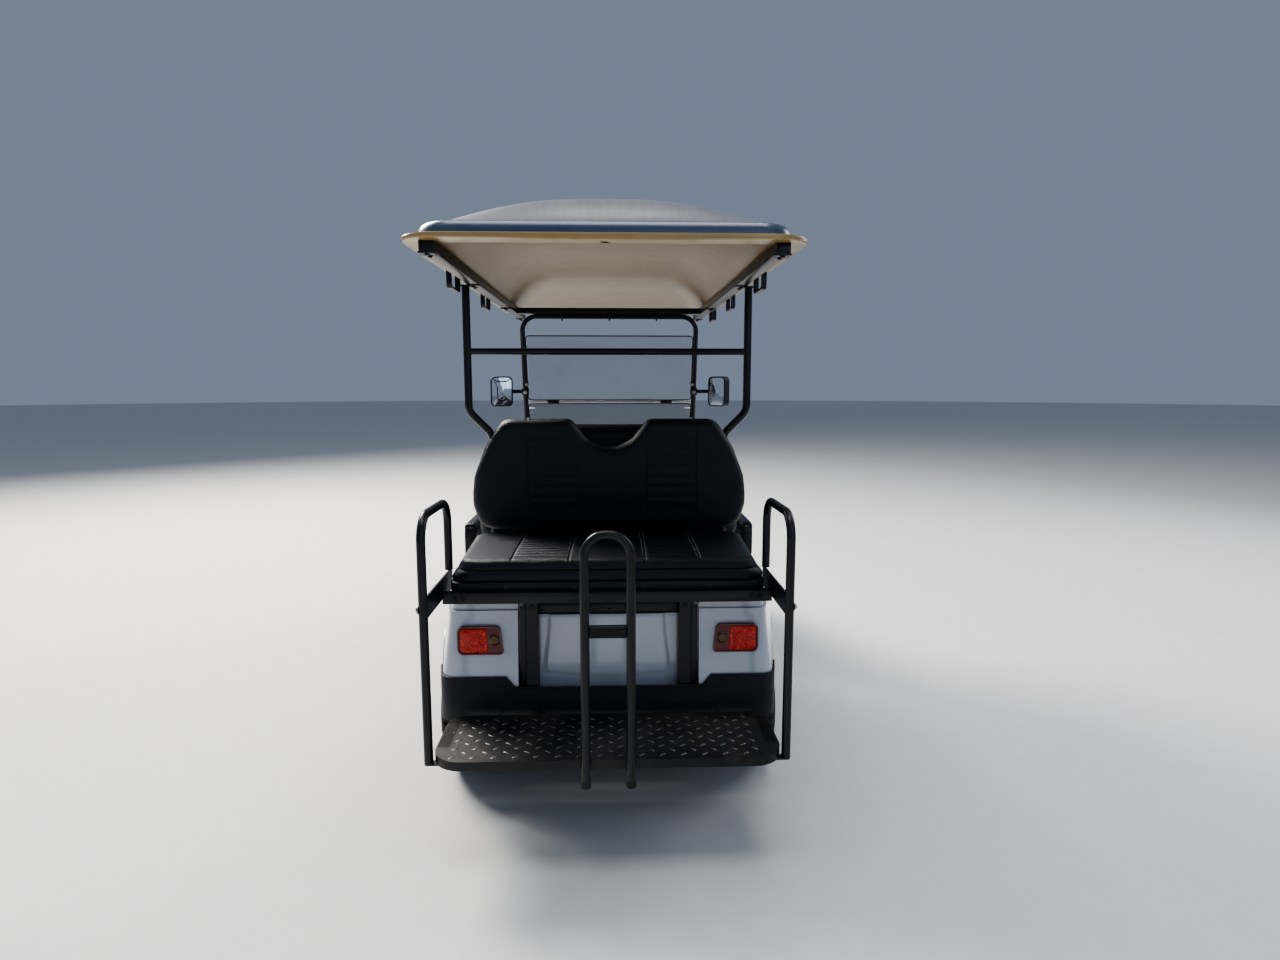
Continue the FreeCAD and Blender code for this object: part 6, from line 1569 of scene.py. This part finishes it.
def make_hip_pads():
    """Hip restraints: a padded sleeve with rounded ends and a stitched seam over the top bar of each."""
    pads, seams = Piece("Hip_pads"), Piece("Hip_pad_stitching")
    for side in (-1, 1):
        y = np.linspace(-0.318, -0.032, 60)
        end = np.minimum(y - y[0], y[-1] - y)
        swell = 0.8 + 0.2 * np.sqrt(1 - (1 - np.clip(end / 0.018, 0, 1)) ** 2)
        flat = rounded_box(0.049, 0.047, 0.016, 6)
        pads.tube(np.array([standing(flat * s + (side * 0.552, 0.7655), place) for s, place in zip(swell, y)]))
        line = np.linspace(-0.3, -0.05, 60)
        for shift in (-0.0115, 0.0115):
            stitches(seams, xyz(side * 0.552 + shift, line, 0.7891), (0, 0, 1))
    pads.build("SeatVinyl", "chassis", "seat_vinyl", sharp=60)
    seams.build("Thread", "chassis", "seat_vinyl", merge=0, outward=False)


def make_body_trims():
    """Rolled lips round the wheel arches, circles about the axles on the skin, and a strip behind the cowl."""
    lips = Piece("Arch_lips")
    for name, y, radius, low in (("front_cowl", FRONT_AXLE, 0.3265, 0.409), ("rear_body", REAR_AXLE, 0.2725, 0.418)):
        start = math.asin((low - AXLE_HEIGHT) / radius)
        angle = np.linspace(start, math.pi - start, 56)
        for side in (-1, 1):
            path = xyz(0, y + radius * np.cos(angle), AXLE_HEIGHT + radius * np.sin(angle))
            path[:, 0] = surface(name, path, "x", side, lift=0) - side * 0.0008
            lips.tube(along(path, ring(0.0036, 10), (1, 0, 0)))
    lips.build("BodyGloss", "chassis", "body_panel")
    strip = Piece("Cowl_rear_strip")
    path = xyz(np.linspace(-0.5, 0.5, 80), 0.7, 0)
    path[:, 2] = surface("front_cowl", path, "z") - 0.0008
    strip.tube(along(path, np.array([(0.0052, -0.0005), (0.0046, 0.0016), (0.0025, 0.0028), (-0.0025, 0.0028),
                                     (-0.0046, 0.0016), (-0.0052, -0.0005)])[:, ::-1], (0, 1, 0)))
    strip.build("BlackPlastic", "chassis", "black_plastic")


def make_front_bumper_trim():
    """Front bumper: two ridges that follow its bow, and bolts with washers."""
    trim = Piece("Front_bumper_trim")
    for z in (0.312, 0.356):
        path = xyz(np.linspace(-0.455, 0.455, 80), 0, z)
        path[:, 1] = surface("front_bumper", path, "y") - 0.0024
        trim.tube(along(path, rounded_box(0.006, 0.013, 0.0024, 3), (0, 0, 1)))
    spots = np.array([(x, 0.0, 0.334) for x in (-0.4, -0.15, 0.15, 0.4)])
    spots[:, 1] = surface("front_bumper", spots, "y") - 0.0012
    for spot in spots:
        hex_bolt(trim, spot, (0, 1, 0), 0.0062, 0.004, mark=1)
    trim.build(["BlackPlastic", "BoltSteel"], "chassis", "black_plastic")


# Underneath: spring clamps, axle parts, chassis bolts and batteries

SPRINGS = (
    # x, axle y, underside of the pack, height of the eyes over it, half span
    (0.26, REAR_AXLE, 0.2718, 0.056, 0.28),
    (0.165, FRONT_AXLE, 0.1637, 0.038, 0.28),
)


def make_spring_fittings():
    """Leaf springs: U-bolts round the axles with plates and nuts, rebound clips round the leaves, and eye bolts."""
    parts = Piece("Spring_fittings")
    leaves = Piece("Spring_leaves")
    for x0, y0, seat, rise, reach in SPRINGS:
        rear = y0 < 0
        for side in (-1, 1):
            x = side * x0
            level = seat + 0.0254 if rear else seat - 0.0034
            plate_box = rounded_box(0.072, 0.104, 0.008, 4)
            layers = ((0.97, -0.0031), (1.0, -0.0022), (1.0, 0.0022), (0.97, 0.0031))
            parts.tube(np.array([lying(plate_box * s + (x, y0), level + up) for s, up in layers]))
            for shift in (-0.029, 0.029):
                if rear:
                    line = [(x + shift, y0 - 0.0405, level + 0.0145), (x + shift, y0 - 0.0405, 0.188, 0.0404),
                            (x + shift, y0 + 0.0405, 0.188, 0.0404), (x + shift, y0 + 0.0405, level + 0.0145)]
                else:
                    line = [(x + shift, y0 - 0.03, level - 0.0145), (x + shift, y0 - 0.03, 0.229, 0.012),
                            (x + shift, y0 + 0.03, 0.229, 0.012), (x + shift, y0 + 0.03, level - 0.0145)]
                parts.tube(along(rounded_path(line, 8), ring(0.0044, 10), (1, 0, 0)))
                for row in (line[0], line[-1]):
                    up = 1 if rear else -1
                    hex_bolt(parts, (row[0], row[1], level + 0.0031 * up), (0, 0, up), 0.0078, 0.0078)
            for end in (-1, 1):
                spot = (y0 + end * reach, seat + rise)
                for way in (-1, 1):
                    hex_bolt(parts, (x + way * 0.0276, spot[0], spot[1]), (way, 0, 0), 0.0095, 0.008)
                # Each leaf below the main one is shorter, and follows the pack's upper face a little below it
                y = y0 + end * np.linspace(0.052, 0.15, 24)
                spots = xyz(x, y, 0)
                top = surface("leaf_springs", spots, "z")
                for index, (length, drop) in enumerate(((0.98, 0.0065), (0.8, 0.0125))):
                    count = int(24 * length)
                    strip = xyz(x, y[:count], top[:count] - drop)
                    leaves.tube(along(strip, np.array([(0.0238, -0.0022), (0.0238, 0.0022), (-0.0238, 0.0022),
                                                       (-0.0238, -0.0022)])[:, ::-1], (1, 0, 0)))
                clip_y, clip_z = y0 + end * 0.118, np.interp(0.118, [0.052, 0.15], [top[0], top[-1]]) - 0.009
                band = rounded_box(0.053, 0.03, 0.004, 4)
                line = standing(band + (x, clip_z), clip_y)
                flat = np.array([(0.0015, -0.01), (0.0015, 0.01), (-0.0015, 0.01), (-0.0015, -0.01)])
                parts.bead(line, flat, (0, 1, 0))
    parts.build("ForgedBolt", "chassis", "spring_steel")
    leaves.build("SpringSteel", "chassis", "spring_steel")


def make_axle_fittings():
    """Axles: bolts round the drive case, a finned motor with its end bell, grease caps and boots."""
    parts, boots = Piece("Axle_fittings"), Piece("Tie_rod_boots")
    y, z = REAR_AXLE, AXLE_HEIGHT
    for face, way in ((0.1001, 1), (-0.0201, -1)):
        rim = [(0.0, 0.0905), (0.0, 0.095), (0.006, 0.095), (0.007, 0.093), (0.007, 0.072), (0.0, 0.07)]
        parts.grid(turned([(a - 0.0065, b) for a, b in rim], (face, y, z), (way, 0, 0), 64), around_rows=True,
                   around_cols=True)
        for angle in np.radians(np.arange(10, 360, 36)):
            spot = (face + way * 0.0006, y + 0.083 * math.cos(angle), z + 0.083 * math.sin(angle))
            hex_bolt(parts, spot, (way, 0, 0), 0.0062, 0.0052, mark=1)
    centre = (-0.2002, -0.815, 0.2585)
    fins = np.linspace(0.012, 0.15, 140)
    shell = [(place, 0.0826 + 0.003 * smooth(0.5 + 1.3 * math.cos(place / 0.0115 * 2 * math.pi))) for place in fins]
    shell = [(0.0115, 0.0815)] + shell + [(0.1505, 0.0815)]
    parts.turn(shell, centre, (1, 0, 0), 72)
    bell = [(0.01, 0.0816), (0.008, 0.085), (-0.002, 0.085), (-0.005, 0.082), (-0.006, 0.056),
            (-0.011, 0.05), (-0.012, 0.026), (-0.017, 0.023), (-0.018, 0.0)]
    parts.turn(bell, centre, (1, 0, 0), 56)
    for angle in np.radians((45, 135, 225, 315)):
        spot = (centre[0] - 0.0052, centre[1] + 0.068 * math.cos(angle), centre[2] + 0.068 * math.sin(angle))
        hex_bolt(parts, spot, (-1, 0, 0), 0.0058, 0.005, mark=1)
    for side in (-1, 1):
        cap = [(0.0, 0.013), (0.003, 0.013), (0.007, 0.0105), (0.0085, 0.006), (0.009, 0.0)]
        for level, way in ((0.3001, 1), (0.1579, -1)):
            parts.turn(cap, (side * 0.32, 1.0, level - way * 0.0004), (0, 0, way), 24)
        boot = [(0.0, 0.0108), (0.002, 0.0142), (0.0045, 0.0122), (0.0065, 0.0138), (0.009, 0.0118),
                (0.0108, 0.0128), (0.012, 0.0108)]
        boots.turn(boot, (side * 0.32, 0.89, 0.16), (0, 0, 1), 24)
    parts.build(["AxleIron", "ForgedBolt"], "chassis", "axle_iron")
    boots.build("GripRubber", "tie_rod_link", "axle_iron")


def make_chassis_bolts():
    """Chassis: flanged bolts through the rails where the cross members meet them, and weld beads along the joints."""
    parts = Piece("Chassis_bolts")
    for side in (-1, 1):
        for y in (1.286, 0.628, 0.032, -0.355, -0.16, 0.33, 0.86):
            for z in (0.272, 0.298):
                hex_bolt(parts, (side * 0.1851, y, z), (side, 0, 0), 0.0072, 0.006)
        for y in (0.628, 0.032, -0.355):
            for way in (-0.0215, 0.0215):
                line = np.array([(side * 0.1852, y + way, 0.264), (side * 0.1852, y + way, 0.314)])
                parts.tube(along(resample_line(line, 24), ring(0.0026, 8), (1, 0, 0)), mark=1)
    parts.build(["ForgedBolt", "ChassisPaint"], "chassis", "chassis_steel")


def make_batteries():
    """Battery pack: six ribbed cases with lipped lids, three caps and two lead posts each."""
    low, high = low_high("battery_pack")
    pack = Piece("Battery_cases")
    wide, deep = (high[0] - low[0]) / 3, (high[1] - low[1]) / 2
    for i in range(3):
        for j in range(2):
            x, y = low[0] + wide * (i + 0.5), low[1] + deep * (j + 0.5)
            flat = rounded_box(wide - 0.004, deep - 0.004, 0.01, 3)
            fine = resample(flat, 168)
            place = np.arange(168) / 168 * 2 * (wide + deep)
            rib = 0.0022 * smooth(0.5 + 1.4 * np.cos(place / 0.026 * 2 * math.pi))[:, None]
            way = fine / np.linalg.norm(fine, axis=1, keepdims=True)
            rows = []
            for z, inset, ribbed in ((low[2], 0.006, 0), (low[2] + 0.004, 0.0028, 0), (low[2] + 0.02, 0.0028, 0),
                                     (low[2] + 0.024, 0.0028, 1), (0.525, 0.0028, 1), (0.529, 0.0028, 0),
                                     (0.548, 0.0028, 0), (0.549, 0.0002, 0), (0.564, 0.0002, 0),
                                     (0.567, 0.002, 0), (0.567, 0.011, 0), (0.565, 0.0125, 0)):
                rows.append(lying(fine - way * inset + way * rib * ribbed + (x, y), z))
            pack.tube(np.array(rows), mark=0)
            for step in (-1, 0, 1):
                cap = [(0.0, 0.015), (0.006, 0.015), (0.008, 0.0138), (0.008, 0.009), (0.011, 0.008),
                       (0.0115, 0.0)]
                pack.turn(cap, (x + step * 0.056, y + 0.012, 0.5648), (0, 0, 1), 24, mark=1)
            for end in (-1, 1):
                spot = (x + end * (wide / 2 - 0.03), y - deep / 2 + 0.034, 0.5648)
                post = [(0.0, 0.0125), (0.003, 0.0125), (0.004, 0.009), (0.016, 0.0082), (0.0175, 0.007),
                        (0.0175, 0.0)]
                pack.turn(post, spot, (0, 0, 1), 24, mark=2)
                hex_bolt(pack, (spot[0], spot[1], 0.5822), (0, 0, 1), 0.0062, 0.005, mark=3)
    pack.build(["BatteryCase", "BatteryCap", "LeadPost", "BoltSteel"],
               "chassis", "battery_case", ["battery_pack"], merge=2e-6)


# Stage

def make_stage(key, fill):
    """Pale floor, a broad key light high in front on the left, fill lights behind the camera and above."""
    scene = bpy.context.scene
    world = bpy.data.worlds.new("Studio")
    world.use_nodes = True
    sky = world.node_tree.nodes["Background"]
    sky.inputs["Color"].default_value = (0.6, 0.72, 0.95, 1.0)
    sky.inputs["Strength"].default_value = 0.3
    scene.world = world
    floor = Piece("Floor")
    floor.grid([lying(ring(radius, 96), 0) for radius in (0.0001, 4.0, 12.0, 60.0)], around_cols=True)
    pale = make_finish("StudioFloor", (0.66, 0.65, 0.63), 0.8, 0.0, 0.0, 40, 0.0002, 0.0, 0.02, 0.0)
    mesh = bpy.data.meshes.new("Floor")
    mesh.from_pydata(np.concatenate(floor.points), [], floor.faces)
    mesh.materials.append(pale)
    item = bpy.data.objects.new("Floor", mesh)
    scene.collection.objects.link(item)
    for name, spot, size, power, tint in (
            ("Key", (-5.0, 4.6, 6.4), 3.2, key, (1.0, 0.97, 0.92)),
            ("Fill", (2.6, -6.2, 3.6), 5.0, fill, (0.66, 0.8, 1.0)),
            ("Side", (6.0, 2.5, 4.2), 3.0, fill * 1.6, (0.95, 0.97, 1.0)),
            ("Top", (0.0, -0.5, 7.5), 5.0, fill * 5.0, (1.0, 1.0, 1.0))):
        lamp = bpy.data.lights.new(name, "AREA")
        lamp.shape = "SQUARE"
        lamp.size = size
        lamp.energy = power
        lamp.color = tint
        light = bpy.data.objects.new(name, lamp)
        light.location = spot
        light.rotation_euler = (Vector((0, 0, 0.8)) - Vector(spot)).to_track_quat("-Z", "Y").to_euler()
        scene.collection.objects.link(light)
    lens = bpy.data.cameras.new("View")
    lens.lens = 21.1
    lens.sensor_width = 36.0
    lens.clip_end = 200.0
    camera = bpy.data.objects.new("View", lens)
    camera.location = (0.016, -3.271, 1.338)
    camera.rotation_euler = (math.radians(82.72), 0.0, math.radians(-2.06))
    scene.collection.objects.link(camera)
    scene.camera = camera
    scene.view_settings.view_transform = "AgX"
    scene.view_settings.look = "AgX - Medium High Contrast"


# Panel, sizes and operators

class GolfCartSizes(bpy.types.PropertyGroup):
    roof_lip: bpy.props.FloatProperty(
        name="Roof lip", description="Height of the tan lip round the roof", default=0.016, unit="LENGTH")
    roof_rise: bpy.props.FloatProperty(
        name="Dome rise", description="Height of the roof's dome above its band", default=0.125, unit="LENGTH")
    ceiling_rise: bpy.props.FloatProperty(
        name="Ceiling rise", description="Depth of the hollow under the roof", default=0.112, unit="LENGTH")
    rib_count: bpy.props.IntProperty(
        name="Ribs", description="Padded ribs in each panel of the rear seat back", default=7, min=2)
    rib_depth: bpy.props.FloatProperty(
        name="Rib depth", description="Depth of the sewn lines between the ribs", default=0.0028, unit="LENGTH")
    tyre_radius: bpy.props.FloatProperty(
        name="Tyre radius", description="Radius of the tyres at the middle of the tread", default=0.2285,
        unit="LENGTH")
    panel_rise: bpy.props.FloatProperty(
        name="Panel rise", description="How far the access panel's field stands out", default=0.006, unit="LENGTH")
    tread_pitch: bpy.props.FloatProperty(
        name="Tread pitch", description="Distance between the footplate's lozenges", default=0.058, unit="LENGTH")
    tread_size: bpy.props.FloatProperty(
        name="Tread size", description="Half length of a lozenge", default=0.0125, unit="LENGTH")
    key_power: bpy.props.FloatProperty(
        name="Key light", description="Power of the light in front on the left", default=1500.0, unit="POWER")
    fill_power: bpy.props.FloatProperty(
        name="Fill light", description="Power of the light behind the camera", default=75.0, unit="POWER")


class GOLFCART_OT_finishes(bpy.types.Operator):
    """Make the finishes and put them on the CAD parts that stay."""
    bl_idname = "golfcart.finishes"
    bl_label = "Finishes"

    def execute(self, context):
        make_materials()
        dress_nodes()
        return {"FINISHED"}


class GOLFCART_OT_roof(bpy.types.Operator):
    """Roof shell with its lip, band, dome and ceiling, and the fixings under it."""
    bl_idname = "golfcart.roof"
    bl_label = "Roof"

    def execute(self, context):
        sizes = context.scene.golf_cart
        make_roof(sizes.roof_lip, sizes.roof_rise, sizes.ceiling_rise)
        make_roof_fixings()
        return {"FINISHED"}


class GOLFCART_OT_seats(bpy.types.Operator):
    """Seat backs and cushions with their ribbed panels and stitching."""
    bl_idname = "golfcart.seats"
    bl_label = "Seats"

    def execute(self, context):
        sizes = context.scene.golf_cart
        make_rear_back(sizes.rib_count, sizes.rib_depth)
        make_rear_cushion(11)
        make_front_seats(9, sizes.rib_depth)
        return {"FINISHED"}


class GOLFCART_OT_wheels(bpy.types.Operator):
    """Tyres with their tread, and the nuts, dust caps and valves of the wheels."""
    bl_idname = "golfcart.wheels"
    bl_label = "Wheels"

    def execute(self, context):
        make_tyres(context.scene.golf_cart.tyre_radius)
        make_wheel_nuts()
        return {"FINISHED"}


class GOLFCART_OT_tail(bpy.types.Operator):
    """Tail lamps, access panel, bumper lip, footplate tread and the frame's fasteners."""
    bl_idname = "golfcart.tail"
    bl_label = "Tail"

    def execute(self, context):
        sizes = context.scene.golf_cart
        make_tail_lamps()
        make_access_panel(sizes.panel_rise)
        make_bumper_trim()
        make_footplate_tread(sizes.tread_pitch, sizes.tread_size)
        make_frame_fixings()
        return {"FINISHED"}


class GOLFCART_OT_screen(bpy.types.Operator):
    """Trim of the windshield, and the glasses and clamps of the mirrors."""
    bl_idname = "golfcart.screen"
    bl_label = "Windshield and mirrors"

    def execute(self, context):
        make_screen_trim()
        make_mirrors()
        return {"FINISHED"}


class GOLFCART_OT_front(bpy.types.Operator):
    """Head lamps, dashboard fittings, steering wheel trim, pedals, mat, hip pads and body trims."""
    bl_idname = "golfcart.front"
    bl_label = "Front"

    def execute(self, context):
        make_head_lamps()
        make_dash_fittings()
        make_wheel_trim()
        make_pedal_pads()
        make_floor_mat()
        make_hip_pads()
        make_body_trims()
        make_front_bumper_trim()
        return {"FINISHED"}


class GOLFCART_OT_under(bpy.types.Operator):
    """Spring clamps, axle fittings, chassis bolts and batteries."""
    bl_idname = "golfcart.under"
    bl_label = "Underneath"

    def execute(self, context):
        make_spring_fittings()
        make_axle_fittings()
        make_chassis_bolts()
        make_batteries()
        return {"FINISHED"}


class GOLFCART_OT_stage(bpy.types.Operator):
    """Floor, lights and camera."""
    bl_idname = "golfcart.stage"
    bl_label = "Stage"

    def execute(self, context):
        sizes = context.scene.golf_cart
        make_stage(sizes.key_power, sizes.fill_power)
        return {"FINISHED"}


OPERATORS = (
    GOLFCART_OT_finishes,
    GOLFCART_OT_roof,
    GOLFCART_OT_seats,
    GOLFCART_OT_wheels,
    GOLFCART_OT_tail,
    GOLFCART_OT_screen,
    GOLFCART_OT_front,
    GOLFCART_OT_under,
    GOLFCART_OT_stage,
)


class GOLFCART_PT_panel(bpy.types.Panel):
    """Lists the pieces of the golf cart and their sizes."""
    bl_label = "Golf Cart"
    bl_idname = "GOLFCART_PT_panel"
    bl_space_type = "VIEW_3D"
    bl_region_type = "UI"
    bl_category = "Golf Cart"

    def draw(self, context):
        for name in GolfCartSizes.__annotations__:
            self.layout.prop(context.scene.golf_cart, name)
        for operator in OPERATORS:
            self.layout.operator(operator.bl_idname)


CLASSES = (GolfCartSizes,) + OPERATORS + (GOLFCART_PT_panel,)


def register():
    for item in CLASSES:
        bpy.utils.register_class(item)
    bpy.types.Scene.golf_cart = bpy.props.PointerProperty(type=GolfCartSizes)


def unregister():
    del bpy.types.Scene.golf_cart
    for item in reversed(CLASSES):
        bpy.utils.unregister_class(item)


def main():
    register()
    for operator in OPERATORS:
        group, name = operator.bl_idname.split(".")
        result = getattr(getattr(bpy.ops, group), name)()
        if result != {"FINISHED"}:
            raise RuntimeError(operator.bl_label + " did not finish")


if __name__ == "__main__":
    main()
